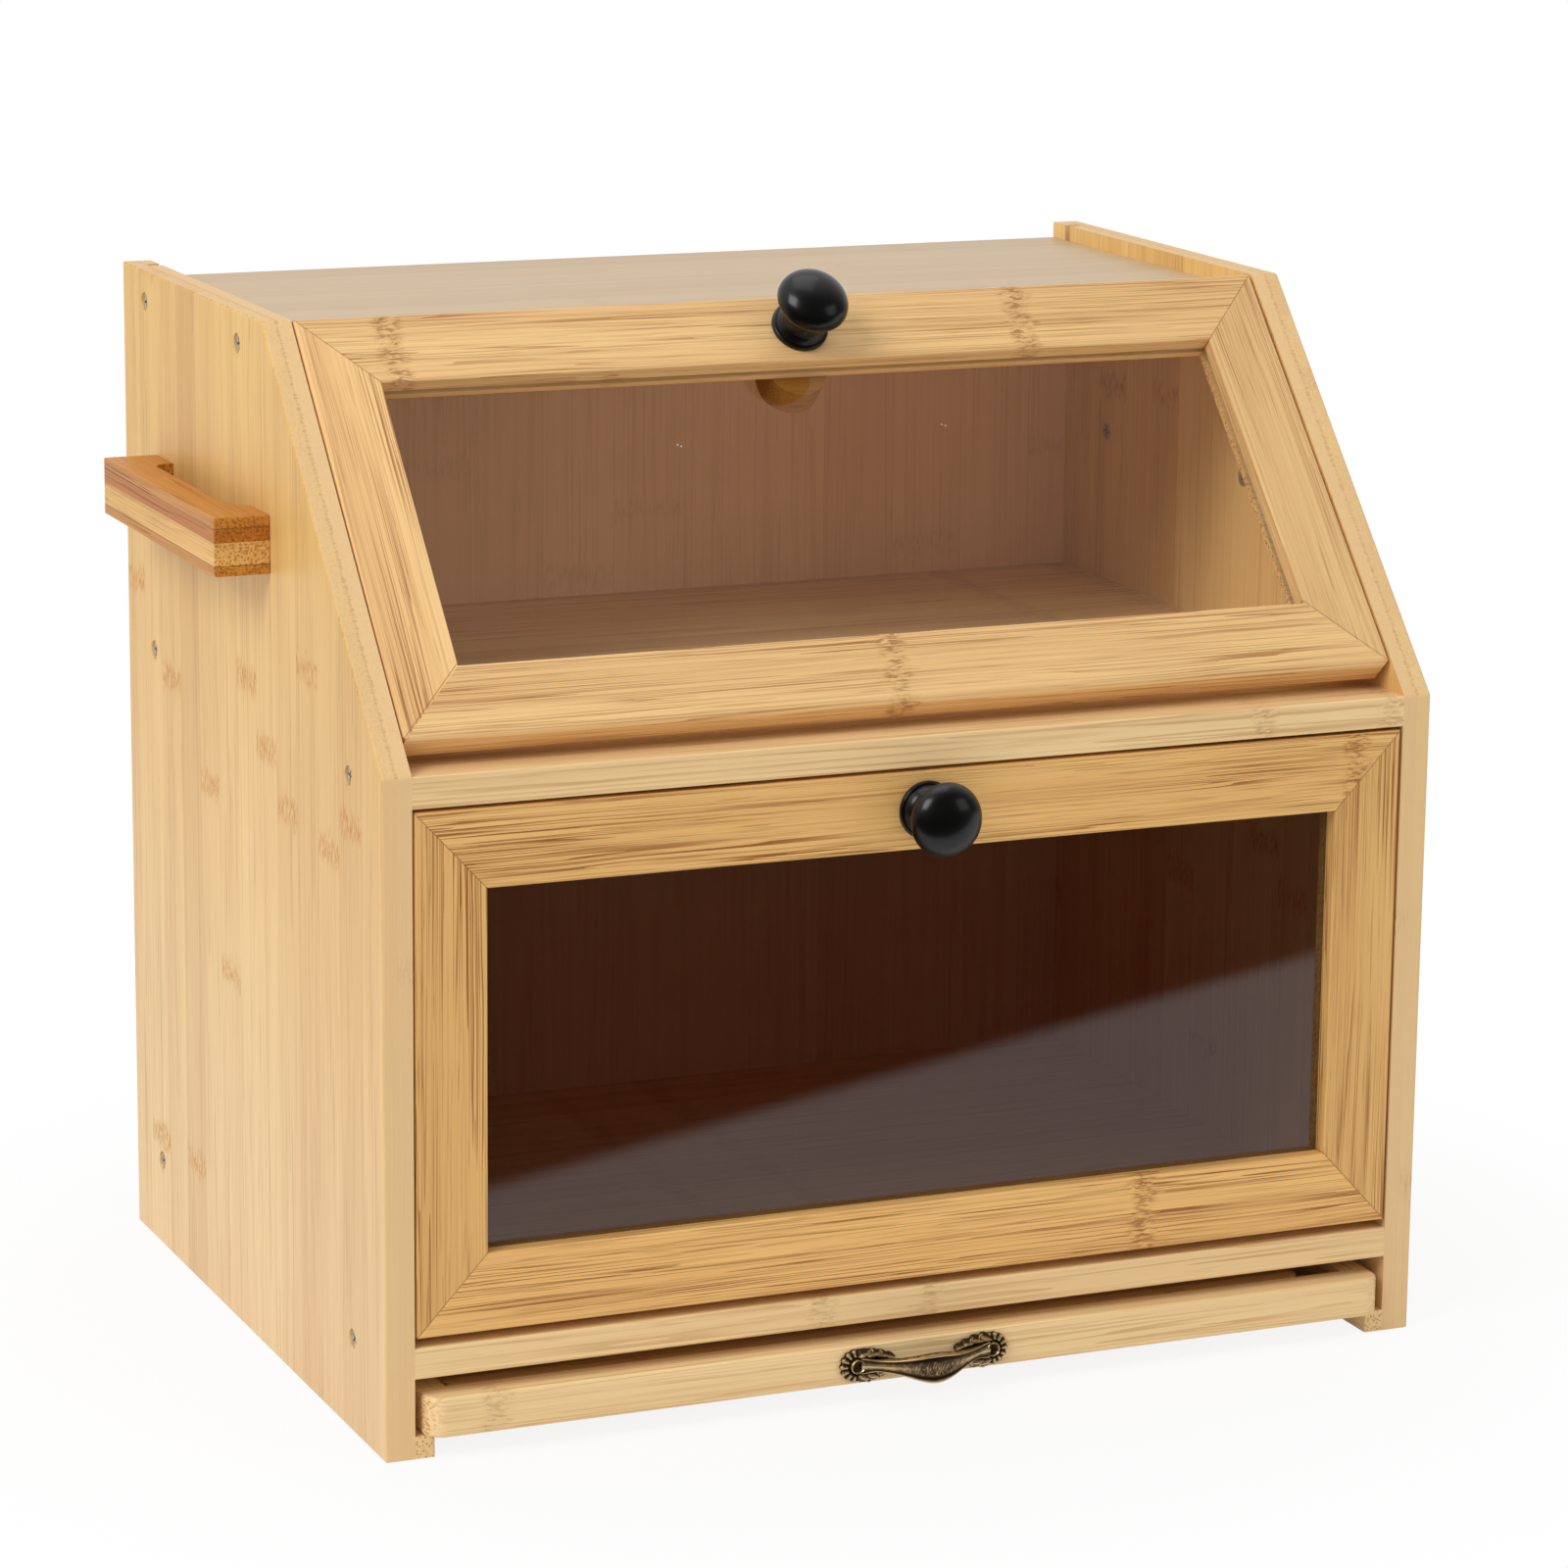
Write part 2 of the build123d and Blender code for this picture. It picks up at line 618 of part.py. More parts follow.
def all_nodes():
    """Every node of the bread box by name."""
    left = left_side()
    screws = side_screws()
    handle = left_handle()
    handle_screws = handle_screw_solids()
    runner = left_runner()
    nodes = {
        "left_side": left,
        "right_side": mirrored(left),
        "top_panel": top_panel(),
        "middle_shelf": shelf(middle_under_z, middle_z),
        "bottom_shelf": shelf(bottom_under_z, bottom_z),
        "back_board": back_board(),
        "left_runner": runner,
        "right_runner": mirrored(runner),
        "left_handle": handle,
        "right_handle": mirrored(handle),
        "left_side_screws": group(screws),
        "right_side_screws": group(mirrored(one) for one in screws),
        "left_handle_screws": group(handle_screws),
        "right_handle_screws": group(mirrored(one) for one in handle_screws),
        "upper_hinge_pins": group(hinge_pins(upper_plane)),
        "lower_hinge_pins": group(hinge_pins(lower_plane)),
    }
    doors = (("upper", upper_plane, upper_door_height, top_under_z, upper_foot_rounding),
             ("lower", lower_plane, lower_door_height, middle_under_z, door_arris))
    for name, plane, door_height, under_z, foot_rounding in doors:
        catch, magnet = catch_parts(plane, under_z)
        nodes[name + "_catch_block"] = catch
        nodes[name + "_catch_magnet"] = magnet
        for piece, solid in door_parts(door_height, foot_rounding).items():
            if isinstance(solid, list):
                placed = group(plane.location * one for one in solid)
            else:
                placed = plane.location * solid
            nodes[name + "_" + piece] = placed
    nodes.update(drawer_parts())
    return nodes


os.makedirs("parts", exist_ok=True)
for node_name, node in all_nodes().items():
    export_step(node, "parts/" + node_name + ".step")
for label, plane in (("upper", upper_plane), ("lower", lower_plane)):
    axis_point = hinge_axis(plane)
    print(label, "hinge axis y, z:", round(axis_point.Y, 3), round(axis_point.Z, 3))
print("front edge y:", round(front_y, 3), " drawer front y:", round(drawer_front_y, 3))
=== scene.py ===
"""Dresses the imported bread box: bamboo, clear panes, turned knobs, cast pull and screws."""

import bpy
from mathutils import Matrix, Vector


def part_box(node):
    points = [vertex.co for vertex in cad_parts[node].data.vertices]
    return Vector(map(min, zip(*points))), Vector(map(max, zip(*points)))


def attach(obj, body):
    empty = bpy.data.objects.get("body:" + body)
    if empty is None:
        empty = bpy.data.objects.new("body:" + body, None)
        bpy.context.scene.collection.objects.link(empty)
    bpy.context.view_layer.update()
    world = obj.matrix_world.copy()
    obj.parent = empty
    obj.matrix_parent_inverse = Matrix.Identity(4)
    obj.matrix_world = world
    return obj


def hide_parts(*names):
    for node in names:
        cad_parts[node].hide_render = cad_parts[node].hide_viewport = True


bl_info = {
    "name": "Bread Box with Drawer",
    "version": (1, 0, 0),
    "blender": (4, 5, 0),
    "location": "3D View > Sidebar > Bread Box",
    "description": "Finishes, knobs, pull, screws and studio for the bread box with drawer",
    "category": "Object",
}
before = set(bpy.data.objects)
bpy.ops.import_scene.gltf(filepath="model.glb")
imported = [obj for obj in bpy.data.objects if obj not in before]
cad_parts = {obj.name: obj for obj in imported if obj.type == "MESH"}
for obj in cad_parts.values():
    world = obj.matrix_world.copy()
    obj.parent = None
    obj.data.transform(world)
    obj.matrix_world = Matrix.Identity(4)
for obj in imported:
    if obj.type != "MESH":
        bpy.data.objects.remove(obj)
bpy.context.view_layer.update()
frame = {"nodes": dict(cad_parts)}
from functools import partialmethod
import math

import bmesh
import bpy
from mathutils import Matrix, Vector, noise

NODES = frame["nodes"]
MILLIMETRES = 1000.0           # object coordinates are metres, patterns are written in millimetres


def islands(name):
    """Boxes (low, high) of the separate solids of a node, in the order of their centres."""
    copy = bmesh.new()
    copy.from_mesh(NODES[name].data)
    bmesh.ops.remove_doubles(copy, verts=copy.verts, dist=1e-6)
    unseen = set(copy.verts)
    boxes = []
    while unseen:
        stack = [unseen.pop()]
        members = list(stack)
        while stack:
            for edge in stack.pop().link_edges:
                for vert in edge.verts:
                    if vert in unseen:
                        unseen.discard(vert)
                        stack.append(vert)
                        members.append(vert)
        low = Vector(tuple(min(v.co[i] for v in members) for i in range(3)))
        high = Vector(tuple(max(v.co[i] for v in members) for i in range(3)))
        boxes.append((low, high))
    copy.free()
    return sorted(boxes, key=lambda pair: tuple(round(c, 4) for c in (pair[0] + pair[1])))


def front_normal(name):
    """Direction that the largest flat face of a node looks in, on the side towards the front."""
    areas = {}
    for polygon in NODES[name].data.polygons:
        key = tuple(round(value, 3) for value in polygon.normal)
        areas[key] = areas.get(key, 0.0) + polygon.area
    facing = [(area, key) for key, area in areas.items() if key[1] < -0.1]
    return Vector(max(facing)[1]).normalized()


def extent(name, direction):
    """Lowest and highest reach of a node along a direction."""
    values = [vertex.co.dot(direction) for vertex in NODES[name].data.vertices]
    return min(values), max(values)


ACROSS = Vector((1, 0, 0))
UPRIGHT = Vector((0, 0, 1))
INWARDS = Vector((0, 1, 0))
DOOR_OUT = {"upper": front_normal("upper_window"), "lower": Vector((0, -1, 0))}
DOOR_UP = {door: out.cross(ACROSS).normalized() for door, out in DOOR_OUT.items()}


# ---------------------------------------------------------------- sizes and colours for the user
def size(label, words, default):
    """Length property in metres."""
    return bpy.props.FloatProperty(name=label, description=words, default=default, unit="LENGTH")


def colour(label, words, default):
    """Colour property, given as it looks on screen and stored for the renderer."""
    linear = [screen_to_linear(channel / 255) for channel in default]
    return bpy.props.FloatVectorProperty(name=label, description=words, subtype="COLOR", size=3,
                                         min=0.0, max=1.0, default=linear)


def screen_to_linear(channel):
    """Screen value of one colour channel as the renderer counts light."""
    if channel <= 0.04045:
        return channel / 12.92
    return ((channel + 0.055) / 1.055) ** 2.4


class BreadBoxSizes(bpy.types.PropertyGroup):
    """Sizes of what is modelled over the frame."""
    side_strip: size("Side strip", "Width of a bamboo strip in the sides", 0.023)
    shelf_strip: size("Shelf strip", "Width of a bamboo strip in the level boards", 0.021)
    knuckle_spacing: size("Knuckle spacing", "Distance between knuckles along a strip", 0.21)
    knob_ring: size("Knob ring", "Width of the fine ring on a knob's foot", 0.0007)
    pull_relief: size("Pull relief", "Depth of the pull's flutes", 0.0007)


class BreadBoxColours(bpy.types.PropertyGroup):
    """Colours of the finishes."""
    side: colour("Sides", "Bamboo of the two sides", (227, 180, 106))
    # Painted light: the paler colour towards the foot of the sides stands in for light bounced up
    # from the white floor; it is also the colour of the sides' sawn ply edges.
    side_edges_and_foot_light: colour("Side foot", "Paler bamboo at the foot of the sides", (238, 200, 146))
    side_knuckle: colour("Side knuckles", "Faint knuckles of the sides", (206, 140, 62))
    frame: colour("Upper frame", "Edge-grain bamboo of the upper door", (238, 192, 132))
    lower_frame: colour("Lower frame", "Edge-grain bamboo of the lower door", (240, 188, 116))
    frame_line: colour("Frame grain", "Dark grain lines in the door frames", (162, 102, 44))
    board: colour("Boards", "Bamboo of shelves, drawer and runners", (245, 208, 153))
    # Painted sheen: darker and greyer than the boards' bamboo, standing in for the grey sheen the
    # top panel shows at a grazing view.
    top: colour("Top", "Bamboo of the top panel", (203, 175, 139))
    back: colour("Back", "Unlacquered bamboo of the back board", (244, 200, 152))
    knuckle: colour("Knuckles", "Brown of the bamboo's knuckles", (160, 98, 40))
    caramel: colour("Caramel", "Steamed bamboo of the handles", (200, 132, 50))
    honey: colour("Honey", "Pale layer in the handles", (228, 176, 100))
    knob: colour("Knobs", "Satin black of the knobs", (8, 8, 7))
    bronze: colour("Bronze", "Dark bronze of the pull", (84, 65, 45))
    bronze_edge: colour("Rubbed bronze", "Bronze where it is rubbed bright", (198, 168, 122))
    steel: colour("Steel", "Zinc-plated screws and discs", (206, 196, 172))
    # Painted shade: the dark red-brown of the shaded lower compartment, laid over the lower pane;
    # the acrylic itself is clear.
    pane: colour("Panes", "Smoky tint of the clear panes", (56, 6, 2))
    studio: colour("Studio", "Floor and backdrop", (246, 246, 246))


def settings():
    """Sizes and colours stored in the scene."""
    return bpy.context.scene.bread_box_sizes, bpy.context.scene.bread_box_colours


# ---------------------------------------------------------------- shader maths
class Number:
    """Socket that holds one number; Python's operators on it add Math nodes."""

    def __init__(self, finish, socket):
        self.finish = finish
        self.socket = socket

    def math(self, operation, *others):
        inputs = dict(enumerate((self, *others)))
        return self.finish.number("ShaderNodeMath", {"operation": operation}, inputs)

    __add__ = __radd__ = partialmethod(math, "ADD")
    __sub__ = partialmethod(math, "SUBTRACT")
    __mul__ = __rmul__ = partialmethod(math, "MULTIPLY")
    __truediv__ = partialmethod(math, "DIVIDE")
    floor = partialmethod(math, "FLOOR")
    fraction = partialmethod(math, "FRACT")
    size = partialmethod(math, "ABSOLUTE")
    least = partialmethod(math, "MINIMUM")
    most = partialmethod(math, "MAXIMUM")

    def __rsub__(self, other):
        inputs = {0: other, 1: self}
        return self.finish.number("ShaderNodeMath", {"operation": "SUBTRACT"}, inputs)

    def ramp(self, low, high):
        """0 below low, 1 above high, smooth between."""
        inputs = {"Value": self, "From Min": low, "From Max": high}
        return self.finish.number("ShaderNodeMapRange", {"interpolation_type": "SMOOTHSTEP"},
                                  inputs)


class Finish:
    """Material under construction."""

    def __init__(self, name):
        self.material = bpy.data.materials.new(name)
        self.material.use_nodes = True
        self.tree = self.material.node_tree
        self.tree.nodes.clear()

    def node(self, kind, choices=None, inputs=None):
        """New node: its settings first, then the values or links of its sockets."""
        node = self.tree.nodes.new(kind)
        for key, choice in (choices or {}).items():
            if key == "stops":
                self.set_stops(node.color_ramp, choice)
            else:
                setattr(node, key, choice)
        for key, item in (inputs or {}).items():
            self.feed(node.inputs[key], item)
        return node

    @classmethod
    def of_tree(cls, tree):
        """The same methods on a tree that isn't a material's."""
        finish = cls.__new__(cls)
        finish.tree = tree
        tree.nodes.clear()
        return finish

    @staticmethod
    def set_stops(color_ramp, stops):
        """Colours of a ramp as (place, colour) pairs."""
        while len(color_ramp.elements) < len(stops):
            color_ramp.elements.new(1.0)
        for element, (place, shade) in zip(color_ramp.elements, stops):
            element.position = place
            element.color = (*shade, 1.0)

    def number(self, kind, choices=None, inputs=None, output=0):
        """New node's output as a Number."""
        return Number(self, self.node(kind, choices, inputs).outputs[output])

    def place(self):
        """Object coordinates in millimetres."""
        coordinates = self.node("ShaderNodeTexCoord").outputs["Object"]
        return self.vector("SCALE", {0: coordinates, "Scale": MILLIMETRES})

    def vector(self, operation, inputs, output=0):
        """Output of a Vector Math node."""
        return self.node("ShaderNodeVectorMath", {"operation": operation}, inputs).outputs[output]

    def along(self, place, direction):
        """How far a place lies along a direction."""
        return Number(self, self.vector("DOT_PRODUCT", {0: place, 1: tuple(direction)}, "Value"))

    def length(self, vector):
        """Length of a vector."""
        return Number(self, self.vector("LENGTH", {0: vector}, "Value"))

    def combine(self, x, y, z):
        """Vector from three numbers."""
        return self.node("ShaderNodeCombineXYZ", None, {0: x, 1: y, 2: z}).outputs[0]

    def noise(self, vector, detail=2.0, roughness=0.5, scale=1.0):
        """Smooth noise between 0 and 1."""
        inputs = {"Vector": vector, "Scale": scale, "Detail": detail, "Roughness": roughness}
        return self.number("ShaderNodeTexNoise", {"noise_dimensions": "3D"}, inputs)

    def cells(self, vector, scale, randomness):
        """Distance to the nearest of many scattered points."""
        return self.number("ShaderNodeTexVoronoi", {"feature": "F1"},
                           {"Vector": vector, "Scale": scale, "Randomness": randomness})

    def chance(self, value):
        """One random number for each whole number."""
        return self.number("ShaderNodeTexWhiteNoise", {"noise_dimensions": "1D"}, {"W": value})

    def mix(self, factor, first, second, blend="MIX"):
        """Colour between two colours."""
        node = self.node("ShaderNodeMix", {"data_type": "RGBA", "blend_type": blend},
                         {0: factor, 6: first, 7: second})
        return node.outputs[2]

    def coated(self, base, *coats):
        """Colour under coats of (amount, colour), each laid over the last."""
        for amount, coat in coats:
            base = self.mix(amount, base, coat)
        return base

    def tinted(self, base, factors):
        """Colour with its channels multiplied."""
        return self.mix(1.0, base, factors, "MULTIPLY")

    def surface(self, base, roughness, height=None, bump_distance=0.0001, bump_strength=1.0,
                others=None):
        """Principled surface; others holds the rest of the shader's sockets by name."""
        shader = self.node("ShaderNodeBsdfPrincipled", None,
                           {"Base Color": base, "Roughness": roughness, **(others or {})})
        if height is not None:
            bump = self.node("ShaderNodeBump", None, {
                "Height": height, "Distance": bump_distance, "Strength": bump_strength})
            self.feed(shader.inputs["Normal"], bump.outputs[0])
        return shader.outputs[0]

    def between(self, factor, first, second):
        """Shader between two shaders."""
        return self.node("ShaderNodeMixShader", None,
                         {0: factor, 1: first, 2: second}).outputs[0]

    def glow(self, level):
        """Grey that gives off its own light."""
        return self.node("ShaderNodeEmission", None,
                         {"Color": (level, level, level), "Strength": 1.0}).outputs[0]

    def rays(self):
        """Whether a ray comes from the camera, also through glass, and whether it mirrors."""
        outputs = self.node("ShaderNodeLightPath").outputs
        seen, through, mirrored = (Number(self, outputs[key]) for key in (
            "Is Camera Ray", "Is Transmission Ray", "Is Glossy Ray"))
        return seen.most(through), mirrored

    def feed(self, socket, item):
        """Links or sets one socket."""
        if isinstance(item, Number):
            item = item.socket
        if isinstance(item, bpy.types.NodeSocket):
            self.tree.links.new(item, socket)
        elif socket.type == "RGBA":
            socket.default_value = (*item[:3], 1.0)
        else:
            socket.default_value = item

    def done(self, shader):
        """Links the shader to the output and gives the material back."""
        output = self.node("ShaderNodeOutputMaterial")
        self.tree.links.new(shader, output.inputs["Surface"])
        return self.material


# ---------------------------------------------------------------- finishes
FAR_AWAY = 1000.0              # millimetres, more than anything on the box


def shade(base, factor):
    """Colour made darker or lighter, by one factor or by one for each channel."""
    factors = factor if isinstance(factor, tuple) else (factor, factor, factor)
    return tuple(min(1.0, channel * one) for channel, one in zip(base[:3], factors))


def bamboo(name, along, across, base, line, knuckle, strip=30.0, contrast=0.5, spread=0.1,
           spacing=210.0, knuckle_amount=1.0, offset=0.0, rings=5.0, fineness=1.0, layers=None,
           ply=None, mitre=None, knots=None, sunk=()):
    """Lacquered bamboo board.

    along is the way the fibres run and across the way its strips lie side by side; strip and
    spacing are in millimetres, contrast is that of the grain lines, spread that between strips,
    rings how close the grain lines lie and fineness that of the fibres. offset shifts the whole
    pattern, so that no two boards are alike. layers makes the base colour from the places along
    and across. ply is the thickness and the middle of a board of two layers, mitre the outline
    of a frame whose corners are mitred, knots the places of single knuckles along the fibres
    where they don't repeat, and sunk the (along, across) places of screws whose heads have torn
    the surface.
    """
    finish = Finish(name)
    through = along.cross(across)
    place = finish.place()
    u = finish.along(place, along) + offset
    v = finish.along(place, across) + 0.37 * offset
    w = finish.along(place, through)
    strip_number = (v / strip).floor()
    if ply:
        layer_depth = w - ply[1]
        strip_number = strip_number + 17.0 * (layer_depth / ply[0]).floor()
    tone = finish.chance(strip_number + 0.5)
    lag = finish.chance(strip_number + 41.5)

    if knots is None:
        nearest = ((u + lag * spacing * 3.0) / spacing).fraction() - 0.5
        distance = nearest.size() * spacing
    else:
        distance = finish.along(place, along) + FAR_AWAY
        for knot in knots:
            distance = distance.least((u - (knot + offset)).size())

    def streaks(length, width, start=0.0, sides=(v, w), detail=2.0, roughness=0.5):
        """Noise drawn out along the fibres."""
        return finish.noise(finish.combine(u * length + start, sides[0] * width,
                                           sides[1] * width), detail, roughness)

    ragged = streaks(0.05, 0.16)
    band = 1.0 - (distance + (ragged - 0.5) * 11.0).ramp(1.5, 7.0)
    sway = streaks(0.009, 0.04)
    curl = streaks(0.16, 0.30)
    shift = (sway - 0.5) * 2.4 + band * (curl - 0.5) * 3.0
    wavy = (v + shift, w + shift * 0.6)
    field = streaks(0.0017, 0.15 * fineness, lag * 60.0, wavy)
    ring = (field * rings * 2.0 + tone * 3.0).fraction().ramp(0.42, 0.97)
    patch = streaks(0.010, 0.10, lag * 23.0, (wavy[0], w))
    fibre = streaks(0.008, 0.85 * fineness, lag * 9.0, wavy, roughness=0.55)
    dash = streaks(0.035, 0.75 * fineness, lag * 31.0, wavy, 1.0).ramp(0.62, 0.72)
    drift = streaks(0.0025, 0.055, lag * 5.0, (wavy[0], w))
    wrinkle = streaks(0.22, 1.0, 5.0, (wavy[0], w), roughness=0.6)
    mark = band * wrinkle.ramp(0.50, 0.60) * knuckle_amount
    # Partly painted highlight: the knuckle ridges are made lighter where their bump catches the
    # light, besides the paler wood of the knuckle.
    glow = band * (1.0 - wrinkle.ramp(0.38, 0.46)) * knuckle_amount

    if layers is not None:
        base_colour = layers(finish, u - offset, v - 0.37 * offset)
        dark_colour = finish.tinted(base_colour, (0.56, 0.42, 0.28))
    else:
        base_colour = tuple(base[:3])
        dark_colour = tuple(line[:3])
    light_colour = finish.tinted(base_colour, (1.07, 1.15, 1.13))
    grain = ring * patch.ramp(0.25, 0.70) * contrast + (fibre - 0.5) * contrast * 1.1
    grain = grain + dash * contrast * 0.30
    colour_now = finish.coated(
        base_colour, (drift.ramp(0.30, 0.72) * 0.55 * contrast + 0.1, light_colour),
        (grain, dark_colour))
    strip_shade = (tone - 0.5) * spread + (drift - 0.5) * 0.25 * contrast + 1.0
    square = strip_shade * strip_shade
    colour_now = finish.tinted(colour_now, finish.combine(
        strip_shade, 0.5 * strip_shade + 0.5 * square, square))
    seam_line = ((v / strip).fraction() - 0.5).size().ramp(0.5 - 0.30 / strip, 0.5)
    # glow lays the knuckles' painted highlight over the colour.
    colour_now = finish.coated(
        colour_now, (band * knuckle_amount * 0.16, knuckle), (glow * 0.45, light_colour),
        (mark * 0.62, knuckle), (seam_line * 0.30, dark_colour))

    normal = finish.node("ShaderNodeTexCoord").outputs["Normal"]
    end = finish.along(normal, along).size().ramp(0.45, 0.85)
    pores = finish.cells(finish.combine(u * 0.08, v, w), 0.85, 0.95)
    dots = 1.0 - pores.ramp(0.26, 0.48)
    colour_now = finish.mix(end, colour_now, finish.mix(dots * 0.80, colour_now, dark_colour))
    height = ring * contrast * (-0.5) + fibre * 0.4 - mark * 1.2 - seam_line * 0.8
    height = height - dots * end
    if ply:
        edge = 1.0 - finish.along(normal, through).size().ramp(0.3, 0.6)
        sawn = edge * finish.along(normal, along).ramp(0.2, 0.4)
        away = layer_depth.size()
        glue = (1.0 - away.ramp(0.05, 0.40)) * sawn
        row = (1.0 - (away - 0.45).size().ramp(0.15, 0.5)) * sawn
        holes = finish.noise(finish.combine(u * 1.3, v * 1.3, w * 0.4), 1.0).ramp(0.52, 0.60)
        inner = (layer_depth * (1.0 if ply[1] > 0 else -1.0)).ramp(-0.2, 0.2)
        colour_now = finish.coated(
            colour_now, ((0.90 - inner * 0.15) * edge, tuple(base[:3])),
            (glue * 0.20 + row * holes * 0.34, dark_colour))
        height = height - row * holes - glue * 0.6
    if sunk:
        gap = finish.along(place, along) + FAR_AWAY
        for first, second in sunk:
            to_screw = finish.combine(finish.along(place, along) - first,
                                      finish.along(place, across) - second, 0.0)
            gap = gap.least(finish.length(to_screw))
        shred = streaks(0.35, 0.9)
        torn = 1.0 - (gap - 3.9 + (shred - 0.5) * 2.4).size().ramp(0.1, 0.8)
        colour_now = finish.coated(
            colour_now, (torn * shred.ramp(0.40, 0.60) * 0.75, light_colour),
            (torn * (1.0 - shred.ramp(0.30, 0.50)) * 0.6, dark_colour))
        height = height - torn * 0.8
    if mitre:
        half, low, high, stile, rail = mitre
        from_side = half - finish.along(place, ACROSS).size()
        level = finish.along(place, mitre_up(along, across))
        from_end = (level - low).least(high - level)
        away = (from_side * (rail / stile) - from_end).size()
        joint = (1.0 - away.ramp(0.10, 0.42)) * (1.0 - (from_side - stile).ramp(0.0, 0.5))
        colour_now = finish.mix(joint * 0.62, colour_now, dark_colour)
        height = height - joint * 1.5
    roughness = 0.44 + (fibre - 0.5) * 0.14 + ring * contrast * 0.08 + mark * 0.1 + end * 0.14
    shader = finish.surface(colour_now, roughness, height, 0.00012, 0.6, {
        "Coat Weight": 0.04, "Coat Roughness": 0.25, "Specular IOR Level": 0.30})
    return finish.done(shader)


def mitre_up(along, across):
    """The one of two directions that isn't level across the front."""
    return across if abs(along.dot(ACROSS)) > 0.5 else along


def acrylic(name, tint, painted_interior_shade):
    """Clear pane: see-through, with specks and the gloss of cast acrylic, and its tint laid over it
    as painted shade of the dim interior, as thickly as the last argument says.
    """
    finish = Finish(name)
    place = finish.place()
    x, y, z = (finish.along(place, axis) for axis in (ACROSS, INWARDS, UPRIGHT))
    film = finish.noise(finish.combine(x * 0.014, y * 0.03, z * 0.03), 3.0)
    specks = finish.cells(finish.combine(x, z, 0.0), 0.028, 1.0)
    dust = 1.0 - specks.ramp(0.006, 0.015)
    body_colour = finish.mix(dust, tuple(tint), (0.80, 0.74, 0.64))
    # Painted shade: the last term lays the tint over the pane as the shade inside the box.
    alpha = (film - 0.5) * 0.05 + dust * 0.7 + painted_interior_shade
    body = finish.surface(body_colour, 0.16 + film * 0.05, others={
        "Alpha": alpha, "Specular IOR Level": 0.0})
    gloss = finish.node("ShaderNodeBsdfGlossy", None,
                        {"Color": (1, 1, 1, 1), "Roughness": 0.02}).outputs[0]
    fresnel = finish.number("ShaderNodeFresnel", None, {"IOR": 1.55})
    rear = Number(finish, finish.node("ShaderNodeNewGeometry").outputs["Backfacing"])
    return finish.done(finish.between(fresnel * (1.0 - rear), body, gloss))


def satin_black(base):
    """Black lacquer over turned wood, with faint orange peel."""
    finish = Finish("satin black lacquer")
    place = finish.place()
    peel = finish.noise(place, 3.0, 0.6, 1.6)
    wear = finish.noise(place, 4.0, 0.7, 0.35).ramp(0.66, 0.80)
    base_colour = finish.mix(wear * 0.5, tuple(base), shade(base, 3.0))
    shader = finish.surface(base_colour, 0.30 + peel * 0.12 + wear * 0.1, peel, 0.00008, 0.5,
                            {"Coat Weight": 0.50, "Coat Roughness": 0.20,
                             "Specular IOR Level": 0.14})
    return finish.done(shader)


def antique_bronze(base, edge):
    """Cast bronze, dark in its hollows and rubbed bright on its ridges."""
    finish = Finish("antique bronze")
    place = finish.place()
    grain = finish.noise(place, 4.0, 0.65, 1.8)
    patches = finish.noise(place, 3.0, 0.6, 0.5)
    raised = finish.number("ShaderNodeAttribute", {"attribute_name": "raised"}, None, "Fac")
    rub = (raised * 0.9 + (patches - 0.5) * 0.7).ramp(0.28, 0.80)
    base_colour = finish.mix(rub, tuple(base), tuple(edge))
    base_colour = finish.mix((1.0 - raised).ramp(0.55, 1.0) * 0.7, base_colour, shade(base, 0.22))
    roughness = 0.42 - rub * 0.14 + grain * 0.12
    shader = finish.surface(base_colour, roughness, grain, 0.00005, 0.4, {"Metallic": 0.92})
    return finish.done(shader)


def plated_steel(base):
    """Zinc-plated steel with fine turning marks."""
    finish = Finish("plated steel")
    place = finish.place()
    scratches = finish.noise(place, 3.0, 0.6, 2.4)
    cloud = finish.noise(place, 2.0, 0.5, 0.5)
    base_colour = finish.mix(cloud.ramp(0.35, 0.75) * 0.5, tuple(base), shade(base, 0.62))
    shader = finish.surface(base_colour, 0.30 + scratches * 0.2, scratches, 0.00003, 0.3,
                            {"Metallic": 0.7})
    return finish.done(shader)


def dress(name, material):
    """Gives a node of the frame its material."""
    mesh = NODES[name].data
    mesh.materials.clear()
    mesh.materials.append(material)
    for polygon in mesh.polygons:
        polygon.material_index = 0


# ---------------------------------------------------------------- mesh helpers
def put(name, data):
    """New object in the scene."""
    thing = bpy.data.objects.new(name, data)
    bpy.context.scene.collection.objects.link(thing)
    return thing


def new_piece(name, mesh, body, replaced, material):
    """Object that stands for a node of the frame and moves with its body."""
    piece = put(name, mesh)
    if material is not None:
        mesh.materials.clear()
        mesh.materials.append(material)
    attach(piece, body)
    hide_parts(replaced)
    return piece


def finish_mesh(builder, name, smooth_angle=35.0):
    """Merges, turns faces outwards and shades smooth up to an angle."""
    bmesh.ops.remove_doubles(builder, verts=builder.verts, dist=1e-7)
    bmesh.ops.recalc_face_normals(builder, faces=builder.faces)
    for face in builder.faces:
        face.smooth = True
    for edge in builder.edges:
        edge.smooth = edge.calc_face_angle(0.0) < math.radians(smooth_angle)
    mesh = bpy.data.meshes.new(name)
    builder.to_mesh(mesh)
    builder.free()
    return mesh


def bridge(builder, loops):
    """Faces from each closed loop of points to the next."""
    for first, second in zip(loops, loops[1:]):
        for step, vert in enumerate(first):
            following = (step + 1) % len(first)
            builder.faces.new((vert, first[following], second[following], second[step]))


def bridge_and_close(builder, loops):
    """Faces from loop to loop, and over the first and the last."""
    bridge(builder, loops)
    builder.faces.new(loops[0])
    builder.faces.new(list(reversed(loops[-1])))


def turns(steps):
    """Equal angles once around."""
    return [2 * math.pi * step / steps for step in range(steps)]


